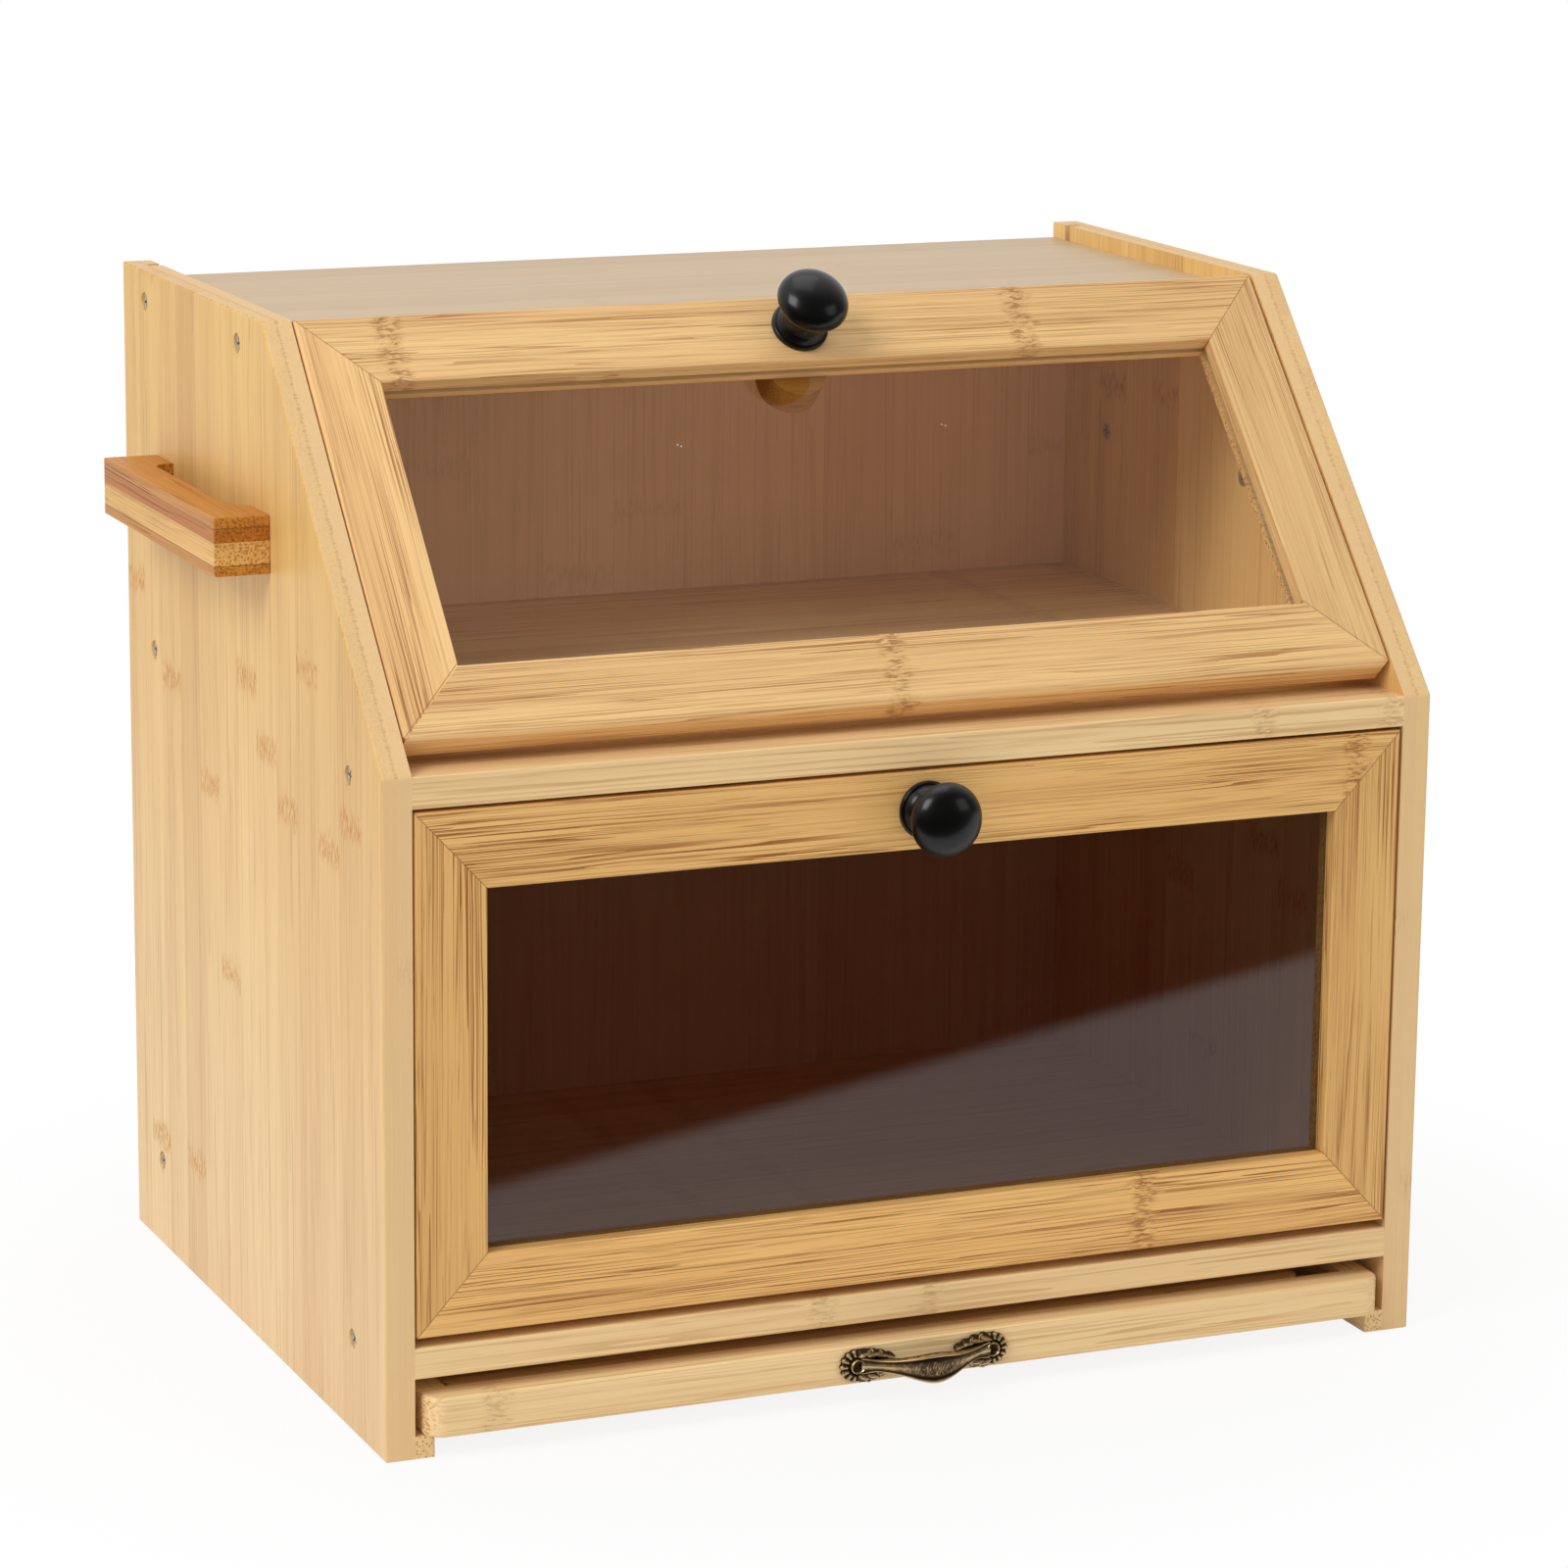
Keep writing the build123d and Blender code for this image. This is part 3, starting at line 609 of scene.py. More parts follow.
def lathe(profile, steps, place):
    """Closed turned shape from (radius, level) points that start and end on the axis."""
    builder = bmesh.new()
    rings = []
    for radius, level in profile:
        if radius < 1e-7:
            rings.append([builder.verts.new(place @ Vector((0, 0, level)))])
            continue
        ring = []
        for angle in turns(steps):
            point = Vector((radius * math.cos(angle), radius * math.sin(angle), level))
            ring.append(builder.verts.new(place @ point))
        rings.append(ring)
    for lower, upper in zip(rings, rings[1:]):
        for step in range(steps):
            following = (step + 1) % steps
            corners = [lower[step % len(lower)], lower[following % len(lower)],
                       upper[following % len(upper)], upper[step % len(upper)]]
            unique = list(dict.fromkeys(corners))
            if len(unique) > 2:
                builder.faces.new(unique)
    return builder


def smooth_profile(points, rounds):
    """Rounds the inner corners of an open outline by cutting them again and again."""
    for _ in range(rounds):
        cut = [points[0]]
        for first, second in zip(points, points[1:]):
            for share in (0.25, 0.75):
                cut.append(tuple(a + (b - a) * share for a, b in zip(first, second)))
        cut.append(points[-1])
        points = cut
    return points


# ---------------------------------------------------------------- camera and studio
CAMERA_PLACE = Vector((-0.76482, -1.79147, 0.63959))
CAMERA_TARGET = Vector((0.0043, 0.0, 0.19326))
CAMERA_ROLL = math.radians(0.61)
CAMERA_LENS = 123.51
FLOOR_SPAN = 14.0
TABLE_DEPTH = Vector((0.394, 0.919, 0.0))   # level direction away from the camera
TABLE_EDGE = -0.398                          # front edge of the white table along it


def aim(place, target):
    """Matrix of something at a place that looks at a target."""
    turn = (Vector(target) - Vector(place)).to_track_quat("-Z", "Y").to_matrix().to_4x4()
    return Matrix.Translation(Vector(place)) @ turn


def make_camera():
    """Camera where the photograph was taken from."""
    data = bpy.data.cameras.new("camera")
    data.lens = CAMERA_LENS
    data.sensor_width = 36.0
    data.clip_start = 0.05
    data.clip_end = 50.0
    camera = put("camera", data)
    camera.matrix_world = aim(CAMERA_PLACE, CAMERA_TARGET) @ Matrix.Rotation(CAMERA_ROLL, 4, "Z")
    bpy.context.scene.camera = camera


def make_light(name, place, target_height, width, power):
    """Soft square lamp that looks at a place above the floor's middle."""
    data = bpy.data.lights.new(name, "AREA")
    data.shape = "RECTANGLE"
    data.size = data.size_y = width
    data.energy = power
    put(name, data).matrix_world = aim(place, (0, 0, target_height))


def make_floor(tint):
    """Pale floor that keeps the object's shadow and shows white to the camera.

    In gloss it shows the white table as far as its front edge and the dark studio beyond.
    """
    finish = Finish("studio floor")
    seen, mirrored = finish.rays()
    place = finish.node("ShaderNodeTexCoord").outputs["Object"]
    far = finish.length(place)
    table = finish.along(place, TABLE_DEPTH).ramp(TABLE_EDGE - 0.012, TABLE_EDGE + 0.012)
    matt = finish.node("ShaderNodeBsdfDiffuse", None, {"Color": tint}).outputs[0]
    white = finish.glow(1.0)
    fade = far.ramp(0.20, 0.42) * 0.12 + 0.88
    material = finish.done(finish.between(
        mirrored * (1.0 - seen), finish.between(seen * fade, matt, white),
        finish.between(table, finish.glow(0.02), white)))
    half = FLOOR_SPAN / 2
    mesh = bpy.data.meshes.new("studio_floor")
    mesh.from_pydata([(-half, -half, 0), (half, -half, 0), (half, half, 0), (-half, half, 0)],
                     [], [(0, 1, 2, 3)])
    mesh.materials.append(material)
    floor = put("studio_floor", mesh)


def make_world(strength):
    """Even surroundings, white to the camera; in gloss white behind and dark in front."""
    world = bpy.data.worlds.new("studio")
    world.use_nodes = True
    finish = Finish.of_tree(world.node_tree)
    seen, mirrored = finish.rays()
    direction = finish.node("ShaderNodeTexCoord").outputs["Generated"]
    behind = finish.along(direction, INWARDS) + finish.along(direction, UPRIGHT) * 0.5
    shine = behind.ramp(-0.25, 0.80) * 0.93 + 0.07
    level = mirrored * (1.0 - seen) * (shine - strength) + strength
    level = seen * (1.0 - level) + level
    tone = finish.combine(level, level, level)
    lit = finish.node("ShaderNodeBackground", None, {"Color": tone, "Strength": 1.0}).outputs[0]
    output = finish.node("ShaderNodeOutputWorld")
    finish.tree.links.new(lit, output.inputs["Surface"])
    bpy.context.scene.world = world


class BREADBOX_OT_stage(bpy.types.Operator):
    """Set up the camera, floor, surroundings and lamps"""
    bl_idname = "bread_box.stage"
    bl_label = "Stage"

    def execute(self, context):
        _, colours = settings()
        context.scene.view_settings.view_transform = "Standard"
        make_camera()
        make_floor(tuple(colours.studio))
        make_world(0.50)
        make_light("key", (-2.3, -1.10, 2.3), 0.2, 1.5, 48.0)
        make_light("fill", (1.9, -2.0, 1.2), 0.15, 1.2, 5.0)
        make_light("top", (0.1, 0.2, 2.6), 0.2, 1.6, 9.0)
        return {"FINISHED"}


# ---------------------------------------------------------------- boards
BOARD_GRAIN = (0.62, 0.46, 0.30)    # how much darker the grain lines of a board are
SIDE_GRAIN = (0.72, 0.55, 0.36)
# Painted light: the right side is a lighter copy of the side colour, for its inner face that looks
# towards the light from the left.
RIGHT_SIDE_PAINTED_LIGHT = (1.12, 1.16, 1.25)


def dress_bamboo(name, along, across, base, line=None, knuckle=None, gaps=1.0, **looks):
    """Gives a node a bamboo finish of its own.

    The line is the base made darker, unless one is given. gaps says how far the knuckles lie
    apart, in multiples of the spacing in the settings.
    """
    sizes, colours = settings()
    dress(name, bamboo(
        name + " bamboo", along, across, base, shade(base, BOARD_GRAIN) if line is None else line,
        colours.knuckle if knuckle is None else knuckle,
        spacing=gaps * (sizes.knuckle_spacing * MILLIMETRES), **looks))


def steel_finish():
    """The one finish of all plated steel pieces."""
    return bpy.data.materials.get("plated steel") or plated_steel(settings()[1].steel)


class BREADBOX_OT_carcass(bpy.types.Operator):
    """Finish the sides, shelves, top, back, runners and catches"""
    bl_idname = "bread_box.carcass"
    bl_label = "Carcass"

    def execute(self, context):
        sizes, colours = settings()
        strip = sizes.side_strip * MILLIMETRES
        shelf_strip = sizes.shelf_strip * MILLIMETRES
        side_line = shade(colours.side, SIDE_GRAIN)
        # The right side's tone is painted light: a lighter copy of the side colour.
        for index, (name, tone) in enumerate((("left_side", 1.0),
                                              ("right_side", RIGHT_SIDE_PAINTED_LIGHT))):
            low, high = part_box(name)
            ply = ((high[0] - low[0]) / 2 * MILLIMETRES, -(low[0] + high[0]) / 2 * MILLIMETRES)
            sunk = [((first.z + second.z) / 2 * MILLIMETRES, (first.y + second.y) / 2 * MILLIMETRES)
                    for first, second in islands(name + "_screws")]

            # Painted light: each side grows paler towards its foot, as if lit from the white floor
            # below; the right side's upper colour is also made lighter by its tone.
            def painted_floor_bounce(finish, level, _):
                share = level.ramp(0.0, high[2] * MILLIMETRES)
                return finish.mix(share, tuple(colours.side_edges_and_foot_light), shade(colours.side, tone))

            dress_bamboo(name, UPRIGHT, INWARDS, colours.side_edges_and_foot_light, side_line,
                         colours.side_knuckle, gaps=1.6, strip=strip, contrast=0.50,
                         spread=0.13, knuckle_amount=1.35, offset=61.0 * index, fineness=1.8,
                         layers=painted_floor_bounce, ply=ply, sunk=sunk)
        for name, offset, knots in (("middle_shelf", 77.0, (132.0, 184.0)),
                                    ("bottom_shelf", 151.0, (-36.8, 5.0))):
            dress_bamboo(name, ACROSS, INWARDS, colours.board, strip=shelf_strip, contrast=0.64,
                         spread=0.14, knuckle_amount=0.4, offset=offset, rings=4.0, knots=knots)
        # The top panel's colour holds painted sheen: darker and greyer than the boards.
        dress_bamboo("top_panel", ACROSS, INWARDS, colours.top,
                     shade(colours.board, BOARD_GRAIN), gaps=2.5, strip=shelf_strip,
                     contrast=0.26, spread=0.08, knuckle_amount=0.2, offset=311.0, rings=4.0)
        dress_bamboo("back_board", UPRIGHT, ACROSS, colours.back, gaps=1.9, strip=1.3 * strip,
                     contrast=0.22, spread=0.08, knuckle_amount=0.2, offset=19.0, rings=4.0,
                     fineness=0.8)
        for name in ("left_runner", "right_runner"):
            dress_bamboo(name, INWARDS, ACROSS, colours.board, contrast=0.4, knuckle_amount=0.3,
                         offset=5.0)
        # Painted shade: the catch blocks are a darkened copy of the caramel, standing in for the
        # shade they sit in inside the box.
        for name in ("upper_catch_block", "lower_catch_block"):
            dress_bamboo(name, ACROSS, UPRIGHT, shade(colours.caramel, 0.6),
                         shade(colours.caramel, 0.3), knuckle_amount=0.1, offset=3.0)
        for name in ("upper_catch_magnet", "lower_catch_magnet", "upper_hinge_pins",
                     "lower_hinge_pins"):
            dress(name, steel_finish())
        return {"FINISHED"}


class BREADBOX_OT_handles(bpy.types.Operator):
    """Finish the layered handles on both sides"""
    bl_idname = "bread_box.handles"
    bl_label = "Handles"

    def execute(self, context):
        _, colours = settings()
        caramel = tuple(colours.caramel)
        honey = tuple(colours.honey)
        for index, name in enumerate(("left_handle", "right_handle")):
            low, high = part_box(name)
            floor_level = low[2] * MILLIMETRES
            height = (high[2] - low[2]) * MILLIMETRES

            def layers(finish, _, level):
                share = (level - floor_level) / height
                stops = [(0.0, caramel), (0.165, shade(caramel, 0.55)), (0.185, honey),
                         (0.57, shade(caramel, (0.88, 0.74, 0.50))),
                         (0.80, shade(caramel, 0.50)), (0.82, caramel)]
                ramp = finish.node("ShaderNodeValToRGB", {"stops": stops}, {0: share})
                ramp.color_ramp.interpolation = "CONSTANT"
                return ramp.outputs[0]

            dress_bamboo(name, INWARDS, UPRIGHT, caramel, caramel, shade(caramel, 0.4),
                         gaps=2.0, strip=300.0, contrast=0.95, spread=0.05,
                         knuckle_amount=0.2, offset=13.0 * index, rings=9.0, fineness=1.2,
                         layers=layers)
        return {"FINISHED"}


class BREADBOX_OT_doors(bpy.types.Operator):
    """Finish the mitred frames, panes and beads of both doors"""
    bl_idname = "bread_box.doors"
    bl_label = "Doors"

    def execute(self, context):
        _, colours = settings()
        knots = {"upper_top_rail": (-155.0, 88.0), "upper_bottom_rail": (-3.5,),
                 "lower_top_rail": (170.7,), "lower_bottom_rail": (89.4,)}
        # The third value is painted shade: a dark tint laid over the lower pane for the shaded
        # lower compartment; the upper pane has none.
        for index, (door, base, painted_interior_shade) in enumerate((("upper", colours.frame, 0.0),
                                                     ("lower", colours.lower_frame, 0.36))):
            up = DOOR_UP[door]
            low, high = extent(door + "_left_stile", up)
            outer, inner = extent(door + "_left_stile", ACROSS)
            rail_low, rail_high = extent(door + "_bottom_rail", up)
            mitre = tuple(value * MILLIMETRES for value in (
                -outer, low, high, inner - outer, rail_high - rail_low))
            # The last pair in each member is painted light, for the upper and the lower door:
            # copies of the frame colour made lighter or darker by how light falls, the upper left
            # stile lit from the left, the right stiles in shade, the lower bottom rail a little
            # lighter.
            members = (("top_rail", ACROSS, up, 0.0, (1.0, 1.0)),
                       ("bottom_rail", ACROSS, up, 133.0, (1.0, 1.05)),
                       ("left_stile", up, ACROSS, 59.0, (1.08, 0.94)),
                       ("right_stile", up, ACROSS, 211.0, (0.93, 0.92)))
            for piece, along, across, offset, lit_and_shaded_tones in members:
                name = door + "_" + piece
                dress_bamboo(name, along, across, shade(base, lit_and_shaded_tones[index]), colours.frame_line,
                             strip=60.0, contrast=0.80 + 0.28 * index, spread=0.04,
                             offset=offset + 37.0 * index, rings=6.0, fineness=1.5,
                             mitre=mitre, knots=knots.get(name, ()))
            dress(door + "_window", acrylic(door + " acrylic", colours.pane, painted_interior_shade))
            dress_bamboo(door + "_window_beads", ACROSS, up, base, colours.frame_line,
                         strip=60.0, contrast=0.4, knuckle_amount=0.2, offset=7.0)
            for piece in ("_knob_screw", "_strike_plate"):
                dress(door + piece, steel_finish())
        return {"FINISHED"}


class BREADBOX_OT_drawer(bpy.types.Operator):
    """Finish the tray drawer and its cutting board"""
    bl_idname = "bread_box.drawer"
    bl_label = "Drawer"

    def execute(self, context):
        _, colours = settings()
        for index, (name, along, across) in enumerate((
                ("drawer_front", ACROSS, UPRIGHT), ("drawer_back_rail", ACROSS, UPRIGHT),
                ("drawer_left_rail", INWARDS, UPRIGHT), ("drawer_right_rail", INWARDS, UPRIGHT),
                ("drawer_bottom", ACROSS, INWARDS))):
            dress_bamboo(name, along, across, colours.board, gaps=1.5, strip=40.0,
                         contrast=0.60, spread=0.08, knuckle_amount=0.4, offset=29.0 * index,
                         rings=4.0, fineness=1.3,
                         knots=(-160.7,) if name == "drawer_front" else None)
        dress_bamboo("cutting_board", ACROSS, INWARDS, shade(colours.frame, 0.85),
                     colours.frame_line, strip=18.0, contrast=0.6, spread=0.18,
                     knuckle_amount=0.5, offset=83.0)
        return {"FINISHED"}


# ---------------------------------------------------------------- knobs
KNOB_FOOT = 0.792              # radius of the foot as a part of the cap's


def knob_profile(foot_radius, cap_radius, reach, ring):
    """Outline of a turned knob from its seat to the crown: stepped foot, waist, mushroom cap."""
    step = 0.0022
    waist = 0.66 * foot_radius
    rim_level = 0.67 * reach
    foot = [(0.0, 0.0), (foot_radius - 0.0003, 0.0), (foot_radius, 0.0003),
            (foot_radius, step - 0.0004), (foot_radius - 0.0004, step),
            (foot_radius - 0.0004 - ring, step), (foot_radius - 0.0006 - ring, step + 0.0005)]
    neck = smooth_profile([(foot_radius - 0.0006 - ring, step + 0.0005),
                           (foot_radius - 0.0012 - ring, step + 0.0016),
                           (waist + 0.0006, step + 0.0030),
                           (waist, 0.40 * reach), (waist + 0.0012, 0.50 * reach),
                           (0.80 * cap_radius, 0.575 * reach),
                           (cap_radius - 0.0004, 0.625 * reach), (cap_radius, rim_level)], 3)
    dome = []
    for step_number in range(1, 25):
        angle = math.pi / 2 * step_number / 24
        radius = cap_radius * math.cos(angle) ** 0.92
        dome.append((radius, rim_level + (reach - rim_level) * math.sin(angle)))
    dome[-1] = (0.0, reach)
    return foot + neck[1:] + dome


class BREADBOX_OT_knobs(bpy.types.Operator):
    """Turn the two knobs"""
    bl_idname = "bread_box.knobs"
    bl_label = "Knobs"

    def execute(self, context):
        sizes, colours = settings()
        black = satin_black(colours.knob)
        for door in ("upper", "lower"):
            node = door + "_knob"
            out, up = DOOR_OUT[door], DOOR_UP[door]
            seat, crown = extent(node, out)
            low_up, high_up = extent(node, up)
            low_x, high_x = extent(node, ACROSS)
            centre = (ACROSS * (low_x + high_x) / 2 + up * (low_up + high_up) / 2 + out * seat)
            turn = Matrix((ACROSS, up, out)).transposed().to_4x4()
            place = Matrix.Translation(centre) @ turn
            cap_radius = (high_x - low_x) / 2
            profile = knob_profile(KNOB_FOOT * cap_radius, cap_radius, crown - seat,
                                   sizes.knob_ring)
            mesh = finish_mesh(lathe(profile, 96, place), door + "_turned_knob", 50.0)
            new_piece(door + "_turned_knob", mesh, door + "_door", node, black)
        return {"FINISHED"}


# ---------------------------------------------------------------- pull
FAN_FLUTES = 7                 # on the outer half
PULL_LEAVES = ((2.6, 4.3, 1.1, 0.30), (5.9, 3.9, 1.15, 0.05), (9.4, 3.1, 1.05, -0.20),
               (12.6, 2.2, 0.85, -0.30))    # inwards of the screw, lift, scale, lean
PULL_SCROLLS = ((4.3, 4.9, 0.0014), (8.0, 4.0, 0.0012))     # inwards, lift, radius


def bell(value, middle, width):
    """1 at the middle, falling off to both sides."""
    return math.exp(-((value - middle) / width) ** 2)


class Casting:
    """Mesh under construction whose points also tell the finish how high they stand."""

    def __init__(self):
        self.builder = bmesh.new()
        self.layer = self.builder.verts.layers.float.new("raised")

    def point(self, place, local, raised=0.0):
        """New point, given in the coordinates of a place."""
        vert = self.builder.verts.new(place @ Vector(local))
        vert[self.layer] = min(1.0, max(0.0, raised))
        return vert


def add_fan(casting, place, radius, thickness, relief, side):
    """Fluted shell around a screw hole: domed, scalloped, with a ring about the hole."""
    rings = 22
    steps = 176
    hole = 0.0016
    rows = []
    for ring in range(rings + 1):
        share = ring / rings
        row = []
        for angle in turns(steps):
            outward = max(0.0, -math.cos(angle))
            flute = (0.5 + 0.5 * math.cos(angle * FAN_FLUTES * 2)) ** 0.7
            reach = radius * (0.90 + 0.10 * flute * (0.3 + 0.7 * outward))
            distance = hole + (reach - hole) * share
            crown = thickness * (1.0 - 0.45 * share ** 2.6)
            fluted = min(1.0, max(0.0, (share - 0.30) * 4.0))
            grooves = relief * (flute - 0.45) * fluted
            lip = 0.5 * relief * bell(share, 0.93, 0.05)
            collar = 1.3 * relief * bell(share, 0.18, 0.085)
            dish = -1.0 * relief * bell(share, 0.36, 0.055)
            level = min(thickness + 1.3 * relief, crown + grooves + lip + collar + dish)
            high = (0.95 * flute ** 1.6 * fluted + bell(share, 0.18, 0.09)
                    + 0.3 * bell(share, 0.93, 0.05))
            row.append(casting.point(place, (side * -distance * math.cos(angle),
                                             distance * math.sin(angle), level), high))
        rows.append(row)
    for source in (rows[rings], rows[0]):
        above = [place.inverted() @ vert.co for vert in source]
        rows.append([casting.point(place, (local.x, local.y, 0.0)) for local in above])
    bridge(casting.builder, rows + rows[:1])


def add_bow(casting, place, half_span, reach, height, thickness, relief):
    """Bowed grip: slim necks, and a boat-shaped belly with two rims and a stippled hollow."""
    stations = 150
    around = 48
    loops = []
    for station in range(stations + 1):
        t = -1.0 + 2.0 * station / stations
        x = half_span * t
        rise = (0.5 + 0.5 * math.cos(math.pi * min(1.0, abs(t) * 1.02))) ** 0.72
        front = 0.0026 + (reach - 0.0026) * rise
        back = max(0.0007, front - thickness * (1.0 + 0.25 * abs(t)))
        if abs(t) > 0.86:
            back = 0.0005
        belly = bell(t, 0.0, 0.46)
        ends = bell(abs(t), 1.0, 0.16)
        half_height = height * (0.17 + 0.33 * belly + 0.11 * ends)
        drop = -0.05 * height * belly
        loop = []
        for angle in turns(around):
            y = math.sin(angle)
            z = math.cos(angle)
            rim = bell(abs(y), 0.84, 0.13)
            groove = bell(abs(y), 0.60, 0.10)
            spine = bell(y, 0.0, 0.22) * (1.0 - belly) ** 2
            y_place = half_height * (abs(y) ** 0.85) * math.copysign(1, y) + drop
            middle = (front + back) / 2
            half_depth = (front - back) / 2
            level = middle + half_depth * math.copysign(abs(z) ** 0.55, z)
            raised = 0.0
            if z > 0:
                stipple = noise.noise(Vector((x * 1900, y_place * 1900, 3.0)))
                plain = belly * (1.0 - rim) * (1.0 - groove)
                level += relief * (0.8 * rim + 0.7 * spine - 0.9 * belly * groove)
                level += relief * (0.30 * stipple - 0.25) * plain
                raised = 0.42 + 0.60 * rim + 0.55 * spine + 0.60 * stipple * plain - groove
            loop.append(casting.point(place, (x, y_place, level), raised))
        loops.append(loop)
    bridge_and_close(casting.builder, loops)


def add_leaf(casting, place, centre, length, width, thickness, turn):
    """Small cast lobe: a flattened drop with a raised vein."""
    rows, columns = 12, 24
    cos_turn, sin_turn = math.cos(turn), math.sin(turn)
    grid = []
    for row in range(rows + 1):
        share = row / rows
        radius = max(0.02, math.sin(math.pi * share) ** 0.8)
        axial = -math.cos(math.pi * share)
        loop = []
        for angle in turns(columns):
            y = width * radius * math.cos(angle) * (1.0 - 0.35 * axial)
            vein = bell(math.cos(angle), 0.0, 0.30)
            z = thickness * radius * max(-0.30, math.sin(angle) * (0.75 + 0.35 * vein))
            x = length * axial
            spot = (centre[0] + x * cos_turn - y * sin_turn,
                    centre[1] + x * sin_turn + y * cos_turn, centre[2] + z)
            loop.append(casting.point(place, spot,
                                      math.sin(angle) * radius * (0.35 + 0.75 * vein)))
        grid.append(loop)
    bridge_and_close(casting.builder, grid)


def add_scroll(casting, place, centre, radius, tube, spin):
    """Curl at the tip of a leaf: a tube wound into a flat spiral."""
    windings, stations, around = 1.35, 44, 10
    loops = []
    for station in range(stations + 1):
        share = station / stations
        angle = spin * (2 * math.pi * windings * share) + math.pi / 2
        distance = radius * (1.0 - 0.78 * share)
        middle = Vector((centre[0] + distance * math.cos(angle),
                         centre[1] + distance * math.sin(angle), centre[2]))
        outward = Vector((math.cos(angle), math.sin(angle), 0.0))
        thick = tube * (1.0 - 0.35 * share)
        loop = []
        for turn in turns(around):
            point = middle + outward * (thick * math.cos(turn))
            point.z += thick * math.sin(turn)
            loop.append(casting.point(place, point, math.sin(turn)))
        loops.append(loop)
    bridge_and_close(casting.builder, loops)


class BREADBOX_OT_pull(bpy.types.Operator):
    """Cast the drawer pull with its fans, leaves and bowed grip"""
    bl_idname = "bread_box.pull"
    bl_label = "Pull"

    def execute(self, context):
        sizes, colours = settings()
        bronze = antique_bronze(colours.bronze, colours.bronze_edge)
        low, high = (Vector(corner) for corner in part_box("drawer_pull"))
        screws = islands("drawer_pull_screws")
        level = (low.z + high.z) / 2
        reach = high.y - low.y
        fan_radius = (high.z - low.z) / 2
        turn = Matrix((ACROSS, UPRIGHT, Vector((0, -1, 0)))).transposed().to_4x4()
        place = Matrix.Translation(Vector((0, high.y, level))) @ turn
        casting = Casting()
        for screw_low, screw_high in screws:
            x = (screw_low.x + screw_high.x) / 2
            side = math.copysign(1.0, x)
            centre = place @ Matrix.Translation(Vector((x, 0, 0)))
            add_fan(casting, centre, fan_radius, 0.0022, sizes.pull_relief, side)
            for sign in (-1, 1):
                for inward, lift, scale, lean in PULL_LEAVES:
                    spot = (x - side * inward / MILLIMETRES, sign * lift / MILLIMETRES, 0.0012)
                    add_leaf(casting, place, spot, 0.0026 * scale, 0.0018 * scale,
                             0.0021 * scale, side * sign * -lean)
                for inward, lift, radius in PULL_SCROLLS:
                    spot = (x - side * inward / MILLIMETRES, sign * lift / MILLIMETRES, 0.0024)
                    add_scroll(casting, place, spot, radius, 0.00042, side * sign)
        spacing = screws[-1][0].x - screws[0][0].x
        add_bow(casting, place, spacing / 2 - 0.0012, reach - sizes.pull_relief,
                0.0112, 0.0030, sizes.pull_relief)
        mesh = finish_mesh(casting.builder, "cast_pull", 60.0)
        new_piece("cast_pull", mesh, "drawer", "drawer_pull", bronze)
        return {"FINISHED"}


# ---------------------------------------------------------------- screws
SCREW_SIZES = {"Head Radius": 0.0036, "Shank Radius": 0.00175, "Length": 0.030,
               "Slot Width": 0.0009, "Slot Depth": 0.0012}


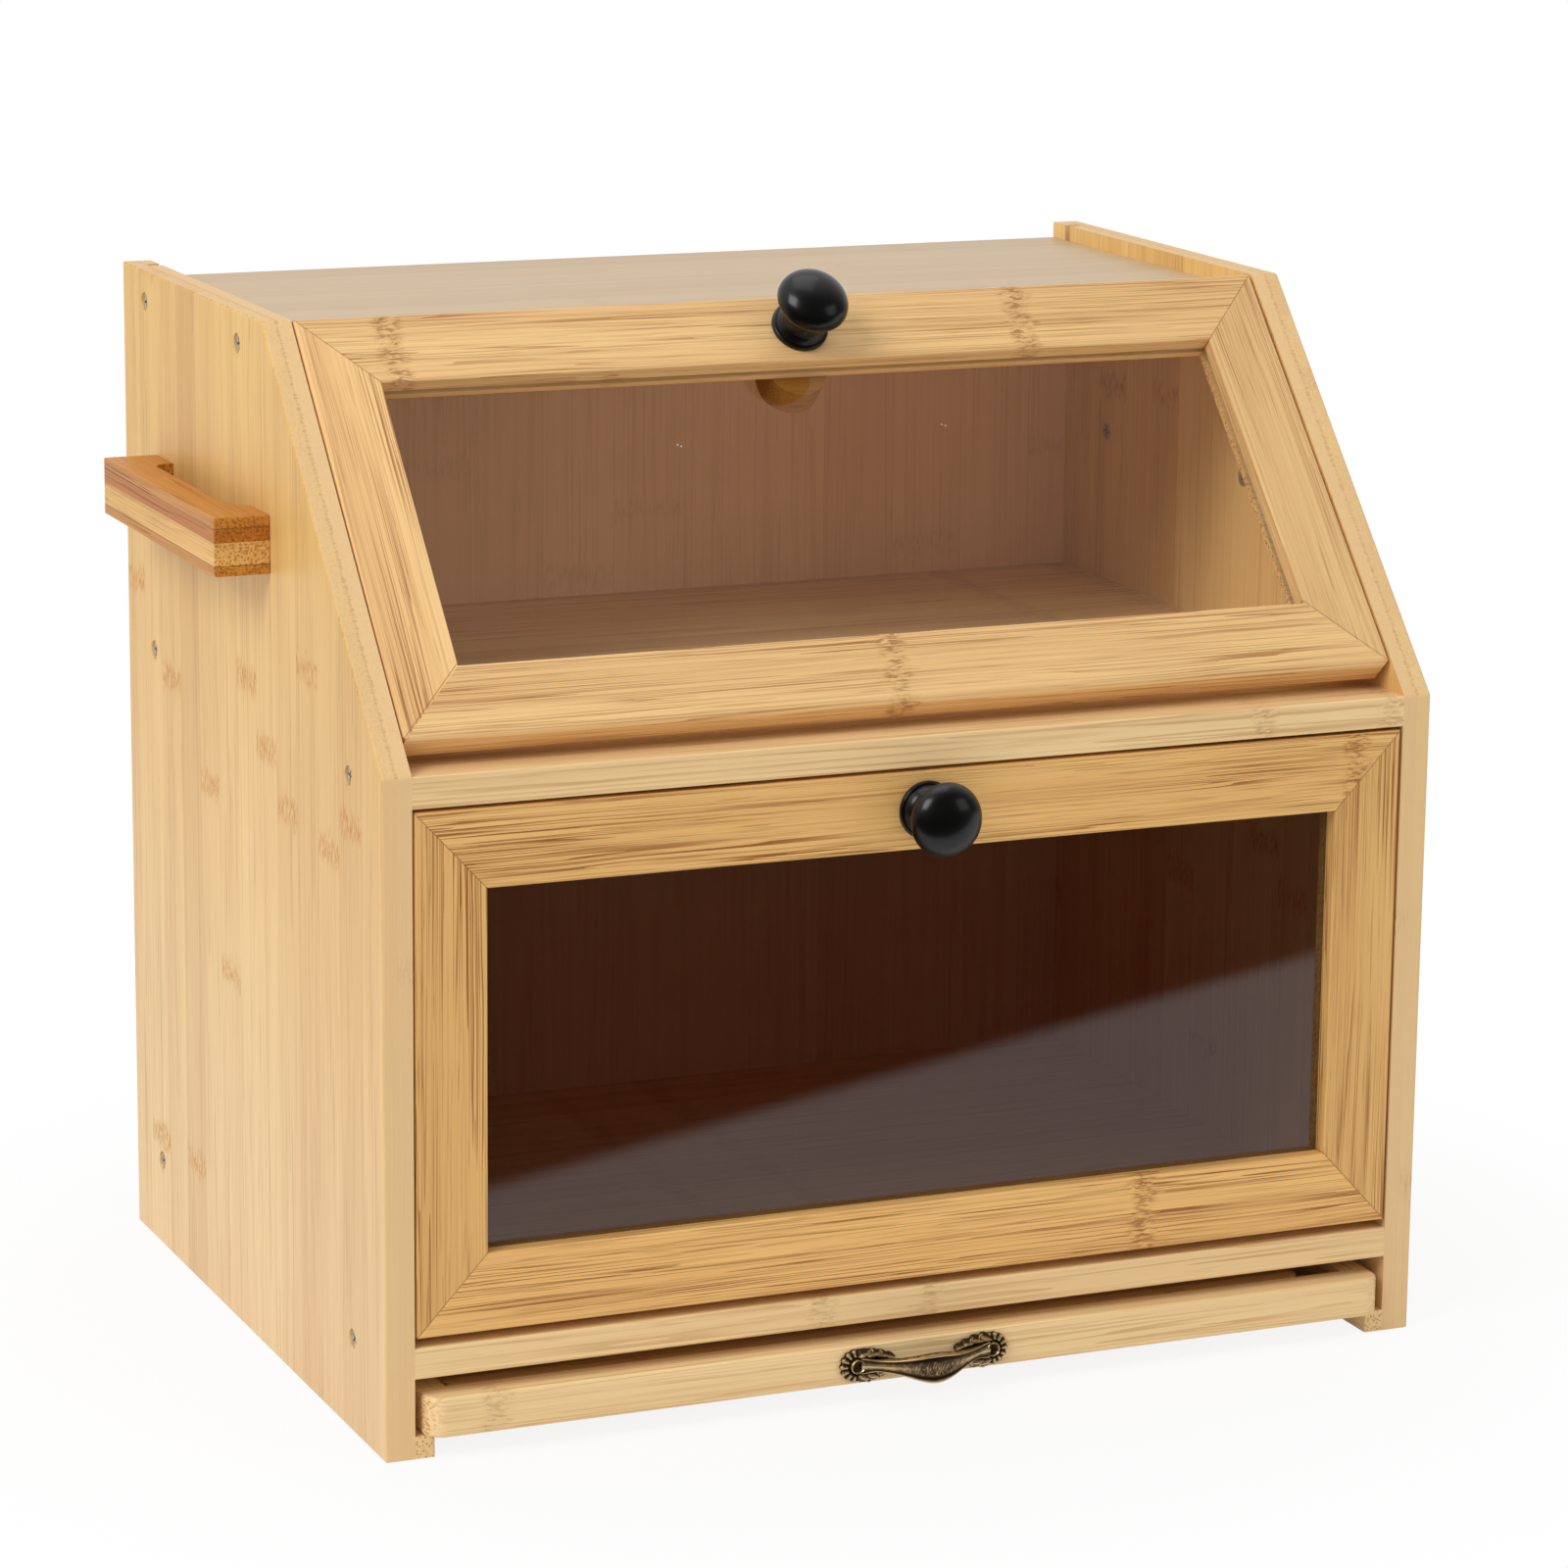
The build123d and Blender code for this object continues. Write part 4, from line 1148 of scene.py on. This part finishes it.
def screw_tree(material):
    """Geometry nodes that set a countersunk cross-head screw on every point."""
    tree = bpy.data.node_groups.new("countersunk screws", "GeometryNodeTree")
    face = tree.interface
    face.new_socket("Geometry", in_out="INPUT", socket_type="NodeSocketGeometry")
    for name, default in SCREW_SIZES.items():
        socket = face.new_socket(name, in_out="INPUT", socket_type="NodeSocketFloat")
        socket.default_value = default
    direction = face.new_socket("Direction", in_out="INPUT", socket_type="NodeSocketVector")
    direction.default_value = (0.0, 0.0, 1.0)
    face.new_socket("Geometry", in_out="OUTPUT", socket_type="NodeSocketGeometry")
    finish = Finish.of_tree(tree)

    def add(kind, inputs, choices=None, output=0):
        return finish.node(kind, choices, inputs).outputs[output]

    def tapered(level, **inputs):
        """Cone whose lower end stands at a level."""
        named = {key.replace("_", " "): item for key, item in inputs.items()}
        return add("GeometryNodeTransform", {
            "Geometry": add("GeometryNodeMeshCone", named),
            "Translation": finish.combine(0.0, 0.0, level)})

    start = finish.node("NodeGroupInput").outputs
    head, shank, length, slot_width, slot_depth = (
        Number(finish, start[name]) for name in SCREW_SIZES)
    depth = head - shank
    cone = tapered(depth * -1.0, Vertices=40, Radius_Top=head, Radius_Bottom=shank, Depth=depth)
    rod = tapered(length * -1.0, Vertices=24, Side_Segments=1, Radius_Top=shank,
                  Radius_Bottom=shank * 0.35, Depth=length - depth)
    slot = add("GeometryNodeMeshCube",
               {"Size": finish.combine(head * 1.25, slot_width, slot_depth * 2.0)})
    cut = finish.node("GeometryNodeMeshBoolean", {"operation": "DIFFERENCE", "solver": "EXACT"},
                      {"Mesh 1": cone})
    for turn in (0.0, math.pi / 2):
        turned = add("GeometryNodeTransform", {"Geometry": slot, "Rotation": (0.0, 0.0, turn)})
        tree.links.new(turned, cut.inputs["Mesh 2"])
    both = finish.node("GeometryNodeJoinGeometry")
    for part in (cut.outputs["Mesh"], rod):
        tree.links.new(part, both.inputs[0])
    aimed = add("FunctionNodeAlignRotationToVector", {"Vector": start["Direction"]},
                {"axis": "Z"})
    chance = add("FunctionNodeRandomValue", {2: 0.0, 3: math.pi, "Seed": 7},
                 {"data_type": "FLOAT"}, 1)
    spin = add("FunctionNodeAxisAngleToRotation", {"Axis": (0.0, 0.0, 1.0), "Angle": chance})
    aimed = add("FunctionNodeRotateRotation", {"Rotation": aimed, "Rotate By": spin},
                {"rotation_space": "LOCAL"})
    points = add("GeometryNodeInstanceOnPoints", {
        "Points": start["Geometry"], "Instance": both.outputs[0], "Rotation": aimed})
    painted = add("GeometryNodeSetMaterial", {
        "Geometry": add("GeometryNodeRealizeInstances", {"Geometry": points}),
        "Material": material})
    tree.links.new(painted, finish.node("NodeGroupOutput").inputs[0])
    return tree


def screws_on(name, body, material, out, head_radius, shank_radius):
    """Cross-head screws in place of a node's plain ones, heads towards out."""
    mesh = bpy.data.meshes.new(name + "_points")
    boxes = islands(name)
    heads = [(low + high) / 2 + out * abs((high - low).dot(out)) / 2 for low, high in boxes]
    mesh.from_pydata([tuple(point) for point in heads], [], [])
    sizes = (head_radius, shank_radius, abs((boxes[0][1] - boxes[0][0]).dot(out)),
             0.25 * head_radius, 0.30 * head_radius)
    carrier = put(name + "_carrier", mesh)
    tree = screw_tree(material)
    modifier = carrier.modifiers.new("screws", "NODES")
    modifier.node_group = tree
    sockets = {item.name: item.identifier for item in tree.interface.items_tree
               if item.in_out == "INPUT"}
    for label, value in (*zip(SCREW_SIZES, sizes), ("Direction", tuple(out))):
        modifier[sockets[label]] = value
    graph = bpy.context.evaluated_depsgraph_get()
    result = bpy.data.meshes.new_from_object(carrier.evaluated_get(graph))
    bpy.data.objects.remove(carrier)
    result.name = name + "_cross_head"
    return new_piece(name + "_cross_head", result, body, name, None)


class BREADBOX_OT_screws(bpy.types.Operator):
    """Drive the cross-head screws of the sides, handles and pull"""
    bl_idname = "bread_box.screws"
    bl_label = "Screws"

    def execute(self, context):
        for name, out in (("left_side", -ACROSS), ("right_side", ACROSS),
                          ("left_handle", ACROSS), ("right_handle", -ACROSS)):
            screws_on(name + "_screws", "carcass", steel_finish(), out,
                      0.0036, 0.00175)
        screws_on("drawer_pull_screws", "drawer",
                  bpy.data.materials["antique bronze"], -INWARDS, 0.0024, 0.00125)
        return {"FINISHED"}


# ---------------------------------------------------------------- panel and main
STEPS = ("stage", "carcass", "handles", "doors", "drawer", "knobs", "pull", "screws")


class BREADBOX_PT_panel(bpy.types.Panel):
    """Lists the steps that dress the bread box"""
    bl_idname = "BREADBOX_PT_panel"
    bl_label = "Bread Box"
    bl_space_type = "VIEW_3D"
    bl_region_type = "UI"
    bl_category = "Bread Box"

    def draw(self, context):
        for step in STEPS:
            self.layout.operator("bread_box." + step)
        for group in (context.scene.bread_box_sizes, context.scene.bread_box_colours):
            for key in group.__annotations__:
                self.layout.prop(group, key)


CLASSES = (BreadBoxSizes, BreadBoxColours, BREADBOX_OT_stage, BREADBOX_OT_carcass,
           BREADBOX_OT_handles, BREADBOX_OT_doors, BREADBOX_OT_drawer, BREADBOX_OT_knobs,
           BREADBOX_OT_pull, BREADBOX_OT_screws, BREADBOX_PT_panel)


def register():
    """Registers the classes and their places in the scene."""
    for one in CLASSES:
        bpy.utils.register_class(one)
    bpy.types.Scene.bread_box_sizes = bpy.props.PointerProperty(type=BreadBoxSizes)
    bpy.types.Scene.bread_box_colours = bpy.props.PointerProperty(type=BreadBoxColours)


def unregister():
    """Takes them out again."""
    del bpy.types.Scene.bread_box_colours
    del bpy.types.Scene.bread_box_sizes
    for one in reversed(CLASSES):
        bpy.utils.unregister_class(one)


def main():
    """Dresses the bread box."""
    register()
    for step in STEPS:
        getattr(bpy.ops.bread_box, step)()


if __name__ == "__main__":
    main()
